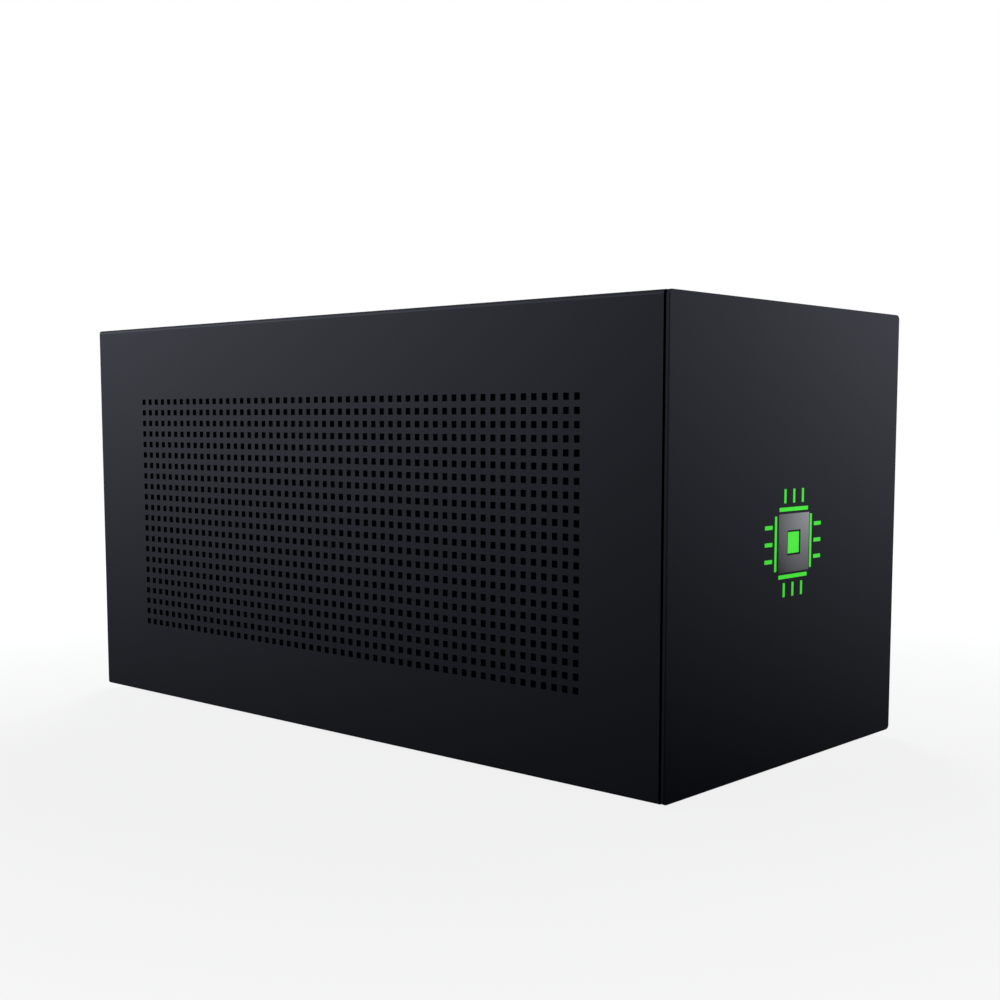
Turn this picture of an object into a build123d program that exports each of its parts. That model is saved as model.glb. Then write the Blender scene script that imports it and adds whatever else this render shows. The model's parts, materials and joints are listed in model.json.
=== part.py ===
from build123d import *
import os
from math import cos, radians, sin

# External graphics card enclosure. A folded steel chassis carries the interface board, power supply and fan.
# A perforated steel cover slides over it from behind, up to a flat front panel with a lit badge.
# Millimetres, Z up. The front panel faces -Y, and the origin is on the floor under the middle.

# Sheet metal and running clearances
cover_sheet = 1.2
chassis_sheet = 1.2
supply_sheet = 0.8
fold_radius = 1.5  # outside of a fold in the cover
slide_gap = 0.4  # cover to chassis at the sides and top
seat_gap = 0.3  # cover to the faces it runs on or stops at
flange_width = 12.0  # folded edges of the chassis sheets

# Card bay and interface board
slot_count = 4
slot_pitch = 20.32
slot_side_gap = 0.8  # slot frame to power supply
slot_left_room = 2.72  # slot frame to the pan's side
slot_recess = 12.5  # slot frame in front of the rear panel
slot_opening = 12.6
slot_margin = 7.0  # slot opening to the frame's ends
slot_cover_gap = 1.9  # between two slot covers
slot_cover_sheet = 0.9
slot_vent_width = 4.0
slot_vent_length = 36.0
slot_vent_pitch = 43.0
slot_vents = 2
rear_vent_length = 29.0
tab_notch = 4.4
ledge_height = 112.0  # card bracket ledge over the board
frame_clear = 6.0  # slot frame over the board
standoff_height = 6.0
standoff_radius = 3.2
board_thickness = 1.6
board_length = 213.4
board_rear_gap = 1.6
board_left_room = 7.7
board_supply_gap = 2.5
tab_reach = 56.5  # the board's front tab, past the left side of the supply
tab_supply_gap = 8.0

# Power supply, standing on its long edge with its fan to the right
supply_width = 86.0
supply_height = 150.0
supply_depth = 140.0
supply_side_room = 2.2
supply_border = 12.0  # rear panel over the edge of the supply
cradle_height = 13.0
cradle_inset = 3.5

# Casing
top_room = 25.2  # over the power supply
bay_length = 369.6  # front frame to rear panel
front_plate = 1.5
front_corner = 2.0
front_edge = 0.4
shadow_gap = 1.2  # open joint between front panel and cover
hem_width = 12.0  # inward fold under the cover's sides
lip_width = 13.5  # inward tabs behind the cover's sides, one for each thumbscrew
lip_length = 10.0
casing_width = (
    2 * (cover_sheet + slide_gap + chassis_sheet)
    + slot_left_room + 2 * chassis_sheet + slot_count * slot_pitch + slot_side_gap
    + supply_width + supply_side_room
)
casing_height = (
    cover_sheet + seat_gap + chassis_sheet + cradle_height + supply_height + top_room
    + slide_gap + cover_sheet
)
casing_length = front_plate + 2 * chassis_sheet + bay_length + seat_gap + cover_sheet

# Side perforation: a square grid of square holes, drawn with fewer and larger openings of the same open share
hole_pitch = 5.5
hole_side = 2.75
hole_columns = 54
hole_rows = 22
opening_columns = 15
opening_rows = 6
filter_sheet = 0.3
filter_border = 5.0  # filter sheet past the holes

# Feet
foot_height = 3.0  # below the casing
foot_width = 16.0
foot_length = 26.0
foot_chamfer = 1.0
foot_inset = 42.0  # middle of a foot to the ends of the chassis
foot_hem_gap = 3.0

# Thumbscrews that hold the cover
knob_radius = 5.0
knob_height = 8.0
knob_facets = 12
knob_gap = 0.2  # knob to cover lip
knob_edge = 9.3  # screw axis to the inside of the cover
knob_from_floor = 8.3
knob_from_top = 13.0
screw_radius = 1.75
screw_gap = 0.25
screw_tip = 1.5  # screw past the rear panel
pin_facets = 8  # of small screws and pins and of their holes

# Lit badge: a plain processor figure of bars and pins, cut through the front panel
badge_height = 94.0  # middle of the badge over the casing's bottom
badge_frame = 28.0  # square of four bars
badge_line = 1.8
badge_bridge = 1.6  # metal left between two cuts
badge_core = 9.0
badge_pins = 3
badge_pin_pitch = 7.0
badge_pin_length = 6.0
guide_gap = 0.1
guide_plate = 3.0
guide_border = 2.5
guide_window_gap = 0.8
housing_wall = 4.0
housing_depth = 13.0
housing_step = 2.0  # ledge behind the light guide
light_board_thickness = 1.6
light_board_gap = 0.3
light_chip = 5.0
light_chip_height = 1.4
light_chip_pitch = 20.0

# Chassis rails and fan posts
rail_width = 20.0
rail_depth = 14.0
rail_side_gap = 0.5  # centre rail to the card bay
post_width = 17.0
post_fold = 8.0
post_fan_gap = 0.8

# Fans
fan_size = 120.0
fan_depth = 25.0
fan_corner = 5.0
fan_bore = 58.0
bore_facets = 48
fan_hole_pitch = 105.0
fan_side_room = 4.4  # fan to the side of the chassis
strut_width = 5.0
strut_depth = 3.5
hub_radius = 20.0
hub_facets = 28
hub_end_gap = 0.5
hub_inset = 1.0
shaft_radius = 2.0
shaft_gap = 0.1
shaft_length = 2.5
blade_count = 7
blade_chord = 29.0
blade_angle = 38.0
blade_camber = 3.0
blade_bend = 6.0  # half the flat middle of a blade's section
blade_thickness = 1.4
blade_tip = 54.5
blade_root = 2.0

# Heads of the small screws
head_radius = 3.6
head_height = 2.2

# Parts on the interface board
socket_length = 89.0
socket_width = 7.5
socket_height = 11.2
socket_from_slot = 45.0
socket_groove = 1.8
socket_groove_depth = 8.5
socket_end = 3.0
card_offset = 4.2  # card socket to the middle of the first slot
ear_length = 8.0
ear_height = 8.0
latch_width = 4.0
latch_gap = 0.2
latch_pivot_height = 5.0
latch_pivot_reach = 5.0
latch_pin_radius = 1.2
latch_pin_gap = 0.1
latch_back = 2.6
latch_foot = 3.0
latch_neck = 2.2
latch_tab = 7.7
port_width = 9.0
port_height = 3.3
port_corner = 1.1
port_depth = 8.0
port_wall = 0.35
port_mouth = 6.0
port_tongue_width = 6.6
port_tongue_height = 0.8
port_tongue_depth = 5.0
port_from_socket = 36.0
port_window_gap = 0.5
chip_size = 16.0
chip_height = 1.2
chip_from_front = 46.0
chip_from_left = 34.0
sink_size = 40.0
sink_base = 2.5
sink_height = 9.5
fin_count = 9
fin_thickness = 1.3
power_length = 52.0
power_width = 10.0
power_height = 12.0
power_wall = 1.2
power_from_edge = 2.0
power_pin_plate = 2.0
plug_gap = 0.2
plug_height = 15.0
harness_width = 44.0
harness_thickness = 4.0
bend_share = 0.8  # bend of a lead over the room it has
lead_height = 6.5  # leads over the board
lead_width = 4.0
lead_thickness = 1.2
header_width = 6.0
header_length = 10.0
header_height = 11.0

# Power supply details
vent_border = 16.0
vent_hex_radius = 5.4
vent_hex_pitch = 6.3  # half the distance between two middles
vent_hex_columns = 4
vent_hex_rows = 5
fan_slots = 9
fan_slot_width = 6.0
fan_slot_pitch = 11.5
fan_slot_length = 104.0
supply_hole_edge = 6.0
supply_hole_lower = 16.0
supply_hole_inset = 30.0
inlet_from_top = 30.0
inlet_from_left = 27.0
inlet_length = 27.0
inlet_width = 20.0
inlet_depth = 22.0
inlet_flange = 2.0
inlet_wall = 1.5
inlet_mouth = 16.0
inlet_gap = 0.1
pin_thickness = 2.0
pin_width = 4.0
pin_length = 11.0
pin_pitch = 7.0
pin_rise = 2.0
switch_fan_gap = 1.2  # switch beside the supply's fan
bezel_length = 21.0
bezel_width = 14.0
bezel_wall = 1.6
bezel_flange = 1.0
bezel_depth = 10.0
rocker_gap = 0.6
rocker_tilt = 7.0  # each way from level
rocker_pivot = 3.0  # below the bezel's face
rocker_rise = 1.2
rocker_foot = 3.0
circuit_gap = 4.0
circuit_thickness = 1.6
circuit_margin = 5.0
circuit_foot = 6.0
transformer_length_share = 0.4  # of the circuit board's length, as the next ones
transformer_height_share = 0.28
cooling_plate = 3.2
cooling_plate_offset_share = 0.34
cooling_plate_height_share = 0.6
capacitor_radius_share = 0.13
capacitor_pitch_share = 0.6
tall_part_share = 0.9  # of the room under the fan
capacitor_share = 0.75
mount_arm = 9.0
mount_post = 9.0
outlet_length = 54.0
outlet_width = 12.0
outlet_depth = 8.0
outlet_rows = 2
outlet_recess = 5.0
outlet_wall = 2.0
outlet_height = 63.0  # lowest outlet over the supply's bottom

# Places that follow from the sizes
overall_length = casing_length + knob_gap + knob_height
front_y = -overall_length / 2
plate_back_y = front_y + front_plate
frame_back_y = plate_back_y + chassis_sheet
cover_front_y = plate_back_y + shadow_gap
rear_y = front_y + casing_length
panel_back_y = rear_y - cover_sheet - seat_gap
panel_front_y = panel_back_y - chassis_sheet
casing_bottom = foot_height
casing_top = casing_bottom + casing_height
casing_middle = casing_bottom + casing_height / 2
pan_bottom = casing_bottom + cover_sheet + seat_gap
pan_floor = pan_bottom + chassis_sheet
cover_inner = casing_width / 2 - cover_sheet
chassis_half = cover_inner - slide_gap
chassis_top = casing_top - cover_sheet - slide_gap
rail_top = chassis_top - chassis_sheet
bay_left = chassis_sheet - chassis_half
supply_right = chassis_half - chassis_sheet - supply_side_room
supply_left = supply_right - supply_width
supply_bottom = pan_floor + cradle_height
supply_top = supply_bottom + supply_height
supply_front_y = panel_front_y - supply_depth
supply_middle_x = (supply_left + supply_right) / 2
supply_middle_y = panel_front_y - supply_depth / 2
supply_middle_z = supply_bottom + supply_height / 2
board_bottom = pan_floor + standoff_height
board_top = board_bottom + board_thickness
board_left = bay_left + board_left_room
board_right = supply_left - board_supply_gap
board_back_y = panel_front_y - board_rear_gap
board_front_y = board_back_y - board_length
tab_right = supply_left + tab_reach
tab_back_y = supply_front_y - tab_supply_gap
slot_right = supply_left - slot_side_gap
slot_left = slot_right - 2 * chassis_sheet - slot_count * slot_pitch
slot_back_y = panel_front_y - slot_recess
slot_front_y = slot_back_y - chassis_sheet
slot_bottom = board_top + frame_clear
ledge_z = board_top + ledge_height
slot_middle_x = (slot_left + slot_right) / 2
slot_places = [slot_right - chassis_sheet - slot_pitch * (i + 0.5) for i in range(slot_count)]
fan_outer_x = chassis_half - fan_side_room
fan_inner_x = fan_outer_x - fan_depth
fan_y = (frame_back_y + supply_front_y) / 2
badge_z = casing_bottom + badge_height
guide_size = badge_frame + 2 * (badge_line / 2 + badge_bridge + badge_pin_length + guide_border)

os.makedirs("parts", exist_ok=True)


def facing_front(y):
    """Plane at depth y with X across and Z up. A positive extrusion from it goes to the front."""
    return Plane.XZ.offset(-y)


def facing_right(x):
    """Plane at x with Y across and Z up. A positive extrusion from it goes to the right."""
    return Plane.YZ.offset(x)


def finish(piece, name):
    """Labels a finished piece and writes it to a file of its own."""
    piece.part.label = name
    export_step(piece.part, f"parts/{name}.step")


# Perforated cover: top and sides folded from one sheet, hems under the pan, tabs behind the rear panel
opening_width = hole_columns * hole_pitch / opening_columns
opening_height = hole_rows * hole_pitch / opening_rows
open_share = hole_side / hole_pitch
knob_places = [
    (side * (cover_inner - knob_edge), z)
    for side in (-1, 1)
    for z in (pan_floor + knob_from_floor, chassis_top - knob_from_top)
]
with BuildPart() as perforated_cover:
    with BuildSketch(facing_front(rear_y)):
        with Locations((0, casing_middle)):
            RectangleRounded(casing_width, casing_height, fold_radius)
            RectangleRounded(
                2 * cover_inner,
                casing_height - 2 * cover_sheet,
                max(fold_radius - cover_sheet, 0.1),
                mode=Mode.SUBTRACT,
            )
        with Locations((0, casing_bottom)):
            Rectangle(casing_width - 2 * hem_width, 3 * cover_sheet, mode=Mode.SUBTRACT)
    extrude(amount=rear_y - cover_front_y)
    with BuildSketch(facing_front(rear_y)):
        for x, z in knob_places:
            with Locations((cover_inner if x > 0 else -cover_inner, z)):
                Rectangle(lip_width, lip_length, align=(Align.MAX if x > 0 else Align.MIN, Align.CENTER))
        with Locations(*knob_places):
            RegularPolygon(screw_radius + screw_gap, pin_facets, major_radius=False, mode=Mode.SUBTRACT)
    extrude(amount=cover_sheet)
    with BuildSketch(facing_right(0)):
        with Locations(((cover_front_y + rear_y) / 2, casing_middle)):
            with GridLocations(opening_width, opening_height, opening_columns, opening_rows):
                Rectangle(opening_width * open_share, opening_height * open_share)
    extrude(amount=casing_width, both=True, mode=Mode.SUBTRACT)
finish(perforated_cover, "perforated_cover")

# Dust filters: sheets of fine mesh on the inside of the cover, over the holes of each side
for name, side in (("left", -1), ("right", 1)):
    with BuildPart() as dust_filter:
        with BuildSketch(facing_right(side * cover_inner)):
            with Locations(((cover_front_y + rear_y) / 2, casing_middle)):
                Rectangle(
                    hole_columns * hole_pitch + 2 * filter_border, hole_rows * hole_pitch + 2 * filter_border
                )
        extrude(amount=-side * filter_sheet)
    finish(dust_filter, f"dust_filter_{name}")

# Front panel: a flat plate with small corner rounds, cut through for the badge
bar_length = badge_frame - badge_line - 2 * badge_bridge
pin_middle = badge_frame / 2 + badge_line / 2 + badge_bridge + badge_pin_length / 2
pin_offsets = [(i - (badge_pins - 1) / 2) * badge_pin_pitch for i in range(badge_pins)]


def badge_figure(shrink):
    """Bars, pins and core of the badge about its middle, narrower all round by shrink."""
    line = badge_line - 2 * shrink
    for side in (-1, 1):
        with Locations((0, side * badge_frame / 2)):
            Rectangle(bar_length - 2 * shrink, line)
        with Locations((side * badge_frame / 2, 0)):
            Rectangle(line, bar_length - 2 * shrink)
        for offset in pin_offsets:
            with Locations((offset, side * pin_middle)):
                Rectangle(line, badge_pin_length - 2 * shrink)
            with Locations((side * pin_middle, offset)):
                Rectangle(badge_pin_length - 2 * shrink, line)
    Rectangle(badge_core - 2 * shrink, badge_core - 2 * shrink)


with BuildPart() as front_panel:
    with BuildSketch(facing_front(plate_back_y)):
        with Locations((0, casing_middle)):
            RectangleRounded(casing_width, casing_height, front_corner)
    extrude(amount=front_plate)
    chamfer(front_panel.edges().group_by(Axis.Y)[0], front_edge)
    badge_plane = facing_front(plate_back_y).shift_origin((0, plate_back_y, badge_z))
    with BuildSketch(badge_plane):
        badge_figure(0)
    extrude(amount=front_plate, mode=Mode.SUBTRACT)
finish(front_panel, "front_panel")

# Front frame: the sheet behind the front panel, folded back along its top
with BuildPart() as front_frame:
    with BuildSketch(facing_front(frame_back_y)):
        with Locations((0, (pan_floor + chassis_top) / 2)):
            Rectangle(2 * chassis_half, chassis_top - pan_floor)
        with Locations((0, badge_z)):
            Rectangle(guide_size + guide_window_gap, guide_size + guide_window_gap, mode=Mode.SUBTRACT)
    extrude(amount=chassis_sheet)
    with BuildSketch(facing_front(frame_back_y)):
        with Locations((0, chassis_top - chassis_sheet / 2)):
            Rectangle(2 * chassis_half, chassis_sheet)
    extrude(amount=-flange_width)
finish(front_frame, "front_frame")

# Base pan: the floor of the chassis, folded up along both sides
with BuildPart() as base_pan:
    with BuildSketch(Plane.XY.offset(pan_bottom)):
        with Locations((0, (plate_back_y + panel_back_y) / 2)):
            Rectangle(2 * chassis_half, panel_back_y - plate_back_y)
    extrude(amount=chassis_sheet)
    with BuildSketch(facing_front(panel_front_y)):
        for side in (-1, 1):
            with Locations((side * (chassis_half - chassis_sheet / 2), pan_floor + flange_width / 2)):
                Rectangle(chassis_sheet, flange_width)
    extrude(amount=bay_length)
    fillet(base_pan.edges().filter_by(Axis.Y).group_by(Axis.Z)[0], 0.8 * chassis_sheet)
finish(base_pan, "base_pan")

# Rear panel: windows for the slots, the power supply and the host port, vents over the slots
supply_holes = [
    (supply_right - supply_hole_edge, supply_bottom + supply_hole_edge),
    (supply_right - supply_hole_edge, supply_top - supply_hole_edge),
    (supply_left + supply_hole_lower, supply_bottom + supply_hole_edge),
    (supply_left + supply_hole_edge, supply_top - supply_hole_inset),
]
card_x = slot_places[0] + card_offset
port_x = card_x - port_from_socket
port_z = board_top + port_height / 2
slot_window_top = ledge_z + slot_cover_sheet + 2 * head_height + head_radius
rear_vent_count = 2 * slot_count
with BuildPart() as rear_panel:
    with BuildSketch(facing_front(panel_back_y)):
        with Locations((0, (pan_floor + chassis_top) / 2)):
            Rectangle(2 * chassis_half, chassis_top - pan_floor)
        with Locations((slot_middle_x, (slot_bottom + slot_window_top) / 2)):
            Rectangle(slot_count * slot_pitch, slot_window_top - slot_bottom, mode=Mode.SUBTRACT)
        with Locations((slot_middle_x, (slot_window_top + chassis_top) / 2)):
            with GridLocations(slot_pitch / 2, 1, rear_vent_count - 1, 1):
                Rectangle(slot_vent_width, rear_vent_length, mode=Mode.SUBTRACT)
        with Locations((supply_middle_x, supply_middle_z)):
            Rectangle(
                supply_width - 2 * supply_border, supply_height - 2 * supply_border, mode=Mode.SUBTRACT
            )
        with Locations((port_x, port_z)):
            Rectangle(
                port_width + 2 * port_window_gap, port_height + 2 * port_window_gap, mode=Mode.SUBTRACT
            )
        with Locations(*knob_places):
            RegularPolygon(screw_radius + screw_gap, pin_facets, major_radius=False, mode=Mode.SUBTRACT)
    extrude(amount=chassis_sheet)
    with BuildSketch(facing_front(panel_front_y)):
        with Locations((0, chassis_top - chassis_sheet / 2)):
            Rectangle(2 * chassis_half, chassis_sheet)
    extrude(amount=flange_width)
finish(rear_panel, "rear_panel")

# Rails from front frame to rear panel: a channel over the supply's edge and an angle along the right side
rail_left = supply_left + rail_side_gap
with BuildPart() as center_rail:
    with BuildSketch(facing_front(panel_front_y)):
        with Locations((rail_left + rail_width / 2, rail_top)):
            Rectangle(rail_width, rail_depth, align=(Align.CENTER, Align.MAX))
        with Locations((rail_left + rail_width / 2, rail_top - chassis_sheet)):
            Rectangle(
                rail_width - 2 * chassis_sheet,
                rail_depth,
                align=(Align.CENTER, Align.MAX),
                mode=Mode.SUBTRACT,
            )
    extrude(amount=bay_length)
finish(center_rail, "center_rail")

with BuildPart() as side_rail:
    with BuildSketch(facing_front(panel_front_y)):
        with Locations((chassis_half, rail_top)):
            Rectangle(rail_depth, chassis_sheet, align=(Align.MAX, Align.MAX))
            Rectangle(chassis_sheet, rail_depth, align=(Align.MAX, Align.MAX))
    extrude(amount=bay_length)
finish(side_rail, "side_rail")

# Fan posts: two angles between pan and side rail, screwed to the corners of the case fan
fan_holes = [
    (fan_y + dy * fan_hole_pitch / 2, casing_middle + dz * fan_hole_pitch / 2)
    for dy in (-1, 1)
    for dz in (-1, 1)
]
post_top = rail_top - chassis_sheet
post_inner = fan_size / 2 + post_fan_gap + chassis_sheet - post_width
for name, side in (("front", -1), ("rear", 1)):
    with BuildPart() as fan_post:
        with BuildSketch(facing_right(fan_outer_x)):
            with Locations((fan_y + side * (post_inner + post_width / 2), (pan_floor + post_top) / 2)):
                Rectangle(post_width, post_top - pan_floor)
        extrude(amount=chassis_sheet)
        with BuildSketch(facing_right(fan_outer_x)):
            fold_y = fan_y + side * (post_inner + post_width - chassis_sheet / 2)
            with Locations((fold_y, (pan_floor + post_top) / 2)):
                Rectangle(chassis_sheet, post_top - pan_floor)
        extrude(amount=-post_fold)
    finish(fan_post, f"fan_post_{name}")

# Slot frame: card bracket openings with a ledge on top, folded back to the rear panel
with BuildPart() as slot_frame:
    with BuildSketch(facing_front(slot_back_y)):
        with Locations((slot_middle_x, slot_bottom)):
            Rectangle(slot_right - slot_left, ledge_z - slot_bottom, align=(Align.CENTER, Align.MIN))
        with Locations(*[(x, slot_bottom + slot_margin) for x in slot_places]):
            Rectangle(
                slot_opening,
                ledge_z - slot_bottom - 2 * slot_margin,
                align=(Align.CENTER, Align.MIN),
                mode=Mode.SUBTRACT,
            )
    extrude(amount=chassis_sheet)
    with BuildSketch(facing_front(slot_back_y)):
        with Locations((slot_middle_x, ledge_z)):
            Rectangle(slot_right - slot_left, chassis_sheet, align=(Align.CENTER, Align.MAX))
        for x, align in ((slot_left, Align.MIN), (slot_right, Align.MAX)):
            with Locations((x, slot_bottom)):
                Rectangle(chassis_sheet, ledge_z - slot_bottom, align=(align, Align.MIN))
    extrude(amount=-slot_recess)
finish(slot_frame, "slot_frame")

# Slot covers: vented strips in front of the slot frame, each with a notched tab over the ledge
tab_length = slot_recess + chassis_sheet - seat_gap
slot_screw_y = slot_back_y + slot_recess / 2
for number, x in enumerate(slot_places, 1):
    with BuildPart() as slot_cover:
        with BuildSketch(facing_front(slot_front_y)):
            with Locations((x, slot_bottom)):
                Rectangle(
                    slot_pitch - slot_cover_gap,
                    ledge_z + slot_cover_sheet - slot_bottom,
                    align=(Align.CENTER, Align.MIN),
                )
            with Locations((x, (slot_bottom + ledge_z) / 2)):
                with GridLocations(1, slot_vent_pitch, 1, slot_vents):
                    Rectangle(slot_vent_width, slot_vent_length, mode=Mode.SUBTRACT)
        extrude(amount=slot_cover_sheet)
        with BuildSketch(Plane.XY.offset(ledge_z)):
            with Locations((x, slot_front_y)):
                Rectangle(slot_pitch - slot_cover_gap, tab_length, align=(Align.CENTER, Align.MIN))
            with Locations((x - tab_notch / 2, slot_screw_y)):
                Rectangle(slot_pitch, tab_notch, align=(Align.MIN, Align.CENTER), mode=Mode.SUBTRACT)
        extrude(amount=slot_cover_sheet)
    finish(slot_cover, f"slot_cover_{number}")

# Slot screws: heads on the tabs
with BuildPart() as slot_screws:
    with BuildSketch(Plane.XY.offset(ledge_z + slot_cover_sheet)):
        with Locations(*[(x, slot_screw_y) for x in slot_places]):
            RegularPolygon(head_radius, 6)
    extrude(amount=head_height)
finish(slot_screws, "slot_screws")

# Rubber feet under the pan, between the cover's hems
foot_x = casing_width / 2 - hem_width - foot_hem_gap - foot_width / 2
for row, y in (("front", plate_back_y + foot_inset), ("rear", panel_back_y - foot_inset)):
    for column, side in (("left", -1), ("right", 1)):
        with BuildPart() as foot:
            with BuildSketch(Plane.XY):
                with Locations((side * foot_x, y)):
                    Rectangle(foot_width, foot_length)
            extrude(amount=pan_bottom)
            chamfer(foot.edges().group_by(Axis.Z)[0], foot_chamfer)
        finish(foot, f"foot_{row}_{column}")

# Thumbscrews through the cover's tabs into the rear panel
for number, (x, z) in enumerate(knob_places, 1):
    with BuildPart() as cover_screw:
        with BuildSketch(facing_front(rear_y + knob_gap)):
            with Locations((x, z)):
                RegularPolygon(knob_radius, knob_facets)
        extrude(amount=-knob_height)
        with BuildSketch(facing_front(rear_y + knob_gap)):
            with Locations((x, z)):
                RegularPolygon(screw_radius, pin_facets)
        extrude(amount=rear_y + knob_gap - panel_front_y + screw_tip)
    finish(cover_screw, f"cover_screw_{number}")

# Badge light: guide with ribs in the front panel's cuts, housing behind the frame, board with four lights
with BuildPart() as badge_light_guide:
    with BuildSketch(facing_front(plate_back_y)):
        with Locations((0, badge_z)):
            Rectangle(guide_size, guide_size)
    extrude(amount=-guide_plate)
    with BuildSketch(badge_plane):
        badge_figure(guide_gap)
    extrude(amount=front_plate)
finish(badge_light_guide, "badge_light_guide")

guide_back_y = plate_back_y + guide_plate
housing_back_y = frame_back_y + housing_depth
light_cavity = guide_size - 2 * housing_step
with BuildPart() as light_housing:
    with BuildSketch(facing_front(housing_back_y)):
        with Locations((0, badge_z)):
            Rectangle(guide_size + 2 * housing_wall, guide_size + 2 * housing_wall)
    extrude(amount=housing_depth)
    with BuildSketch(facing_front(frame_back_y)):
        with Locations((0, badge_z)):
            Rectangle(guide_size + guide_window_gap, guide_size + guide_window_gap)
    extrude(amount=frame_back_y - guide_back_y, mode=Mode.SUBTRACT)
    with BuildSketch(facing_front(guide_back_y)):
        with Locations((0, badge_z)):
            Rectangle(light_cavity, light_cavity)
    extrude(amount=guide_back_y - housing_back_y + housing_step, mode=Mode.SUBTRACT)
finish(light_housing, "light_housing")

light_board_y = housing_back_y - housing_step
with BuildPart() as light_board:
    with BuildSketch(facing_front(light_board_y)):
        with Locations((0, badge_z)):
            Rectangle(light_cavity - 2 * light_board_gap, light_cavity - 2 * light_board_gap)
    extrude(amount=light_board_thickness)
    with BuildSketch(facing_front(light_board_y - light_board_thickness)):
        with Locations((0, badge_z)):
            with GridLocations(light_chip_pitch, light_chip_pitch, 2, 2):
                Rectangle(light_chip, light_chip)
    extrude(amount=light_chip_height)
finish(light_board, "light_board")

# Interface board: an L-shaped board with pin headers for the fan and the badge light
lead_header_x = supply_left + header_width
fan_header_x = tab_right - header_width / 2 - board_supply_gap
header_y = board_front_y + header_length / 2 + board_supply_gap
with BuildPart() as interface_board:
    with BuildSketch(Plane.XY.offset(board_bottom)):
        with Locations((board_left, board_front_y)):
            Rectangle(board_right - board_left, board_length, align=Align.MIN)
            Rectangle(tab_right - board_left, tab_back_y - board_front_y, align=Align.MIN)
    extrude(amount=board_thickness)
    with BuildSketch(Plane.XY.offset(board_top)):
        with Locations((lead_header_x, header_y), (fan_header_x, header_y)):
            Rectangle(header_width, header_length)
    extrude(amount=header_height)
finish(interface_board, "interface_board")

standoff_inset = 2 * standoff_radius
with BuildPart() as board_standoffs:
    with BuildSketch(Plane.XY.offset(pan_floor)):
        with Locations(
            (board_left + standoff_inset, board_front_y + standoff_inset),
            (board_left + standoff_inset, board_back_y - standoff_inset),
            (board_right - standoff_inset, board_back_y - standoff_inset),
            (tab_right - standoff_inset, board_front_y + standoff_inset),
            (tab_right - standoff_inset, tab_back_y - standoff_inset),
            (board_left + standoff_inset, (board_front_y + board_back_y) / 2),
        ):
            RegularPolygon(standoff_radius, 6)
    extrude(amount=standoff_height)
finish(board_standoffs, "board_standoffs")

# Card socket with a groove for the card's edge and a fork for its latch
socket_back_y = slot_front_y - socket_from_slot
socket_front_y = socket_back_y - socket_length
pivot_y = socket_front_y - latch_pivot_reach
pivot_z = board_top + latch_pivot_height
with BuildPart() as card_socket:
    with BuildSketch(Plane.XY.offset(board_top)):
        with Locations((card_x, socket_front_y)):
            Rectangle(socket_width, socket_length, align=(Align.CENTER, Align.MIN))
    extrude(amount=socket_height)
    with BuildSketch(Plane.XY.offset(board_top + socket_height)):
        with Locations((card_x, (socket_front_y + socket_back_y) / 2)):
            Rectangle(socket_groove, socket_length - 2 * socket_end)
    extrude(amount=-socket_groove_depth, mode=Mode.SUBTRACT)
    with BuildSketch(Plane.XY.offset(board_top)):
        with Locations((card_x, socket_front_y)):
            Rectangle(socket_width, ear_length, align=(Align.CENTER, Align.MAX))
            Rectangle(
                latch_width + 2 * latch_gap,
                ear_length,
                align=(Align.CENTER, Align.MAX),
                mode=Mode.SUBTRACT,
            )
    extrude(amount=ear_height)
    with BuildSketch(facing_right(card_x)):
        with Locations((pivot_y, pivot_z)):
            RegularPolygon(latch_pin_radius + latch_pin_gap, pin_facets, major_radius=False)
    extrude(amount=socket_width, both=True, mode=Mode.SUBTRACT)
finish(card_socket, "card_socket")

# Socket latch: a lever on a cross pin, with a hook behind the card's edge and a finger tab in front
hook_reach = latch_pivot_reach - latch_gap
hook_top = socket_height - latch_pivot_height
hook_bottom = ear_height - latch_pivot_height + seat_gap
hook_edge = (hook_top + hook_bottom) / 2 + seat_gap
latch_plane = Plane(origin=(card_x, pivot_y, pivot_z), x_dir=(0, 1, 0), z_dir=(1, 0, 0))
with BuildPart() as socket_latch:
    with BuildSketch(latch_plane):
        with BuildLine():
            Polyline(
                (-latch_back, -latch_foot),
                (latch_neck, -latch_foot),
                (latch_neck, hook_bottom),
                (hook_reach, hook_bottom),
                (hook_reach, hook_edge),
                (-latch_neck, hook_top),
                (-latch_tab, hook_edge),
                (-latch_tab, hook_bottom),
                (-latch_back, hook_bottom),
                close=True,
            )
        make_face()
    extrude(amount=latch_width / 2, both=True)
    with BuildSketch(latch_plane):
        RegularPolygon(latch_pin_radius, pin_facets)
    extrude(amount=socket_width / 2, both=True)
finish(socket_latch, "socket_latch")

# Host port: a metal shell with a tongue, flush with the rear panel
with BuildPart() as host_port:
    with BuildSketch(facing_front(panel_back_y)) as shell:
        with Locations((port_x, port_z)):
            Rectangle(port_width, port_height)
        chamfer(shell.vertices(), port_corner)
    extrude(amount=port_depth)
    with BuildSketch(facing_front(panel_back_y)) as shell_mouth:
        with Locations((port_x, port_z)):
            Rectangle(port_width - 2 * port_wall, port_height - 2 * port_wall)
        chamfer(shell_mouth.vertices(), port_corner - port_wall)
    extrude(amount=port_mouth, mode=Mode.SUBTRACT)
    with BuildSketch(facing_front(panel_back_y - port_mouth)):
        with Locations((port_x, port_z)):
            Rectangle(port_tongue_width, port_tongue_height)
    extrude(amount=-port_tongue_depth)
finish(host_port, "host_port")

# Controller chip under a finned heat sink
chip_x = board_left + chip_from_left
chip_y = board_front_y + chip_from_front
with BuildPart() as controller_chip:
    with BuildSketch(Plane.XY.offset(board_top)):
        with Locations((chip_x, chip_y)):
            Rectangle(chip_size, chip_size)
    extrude(amount=chip_height)
finish(controller_chip, "controller_chip")

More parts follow.
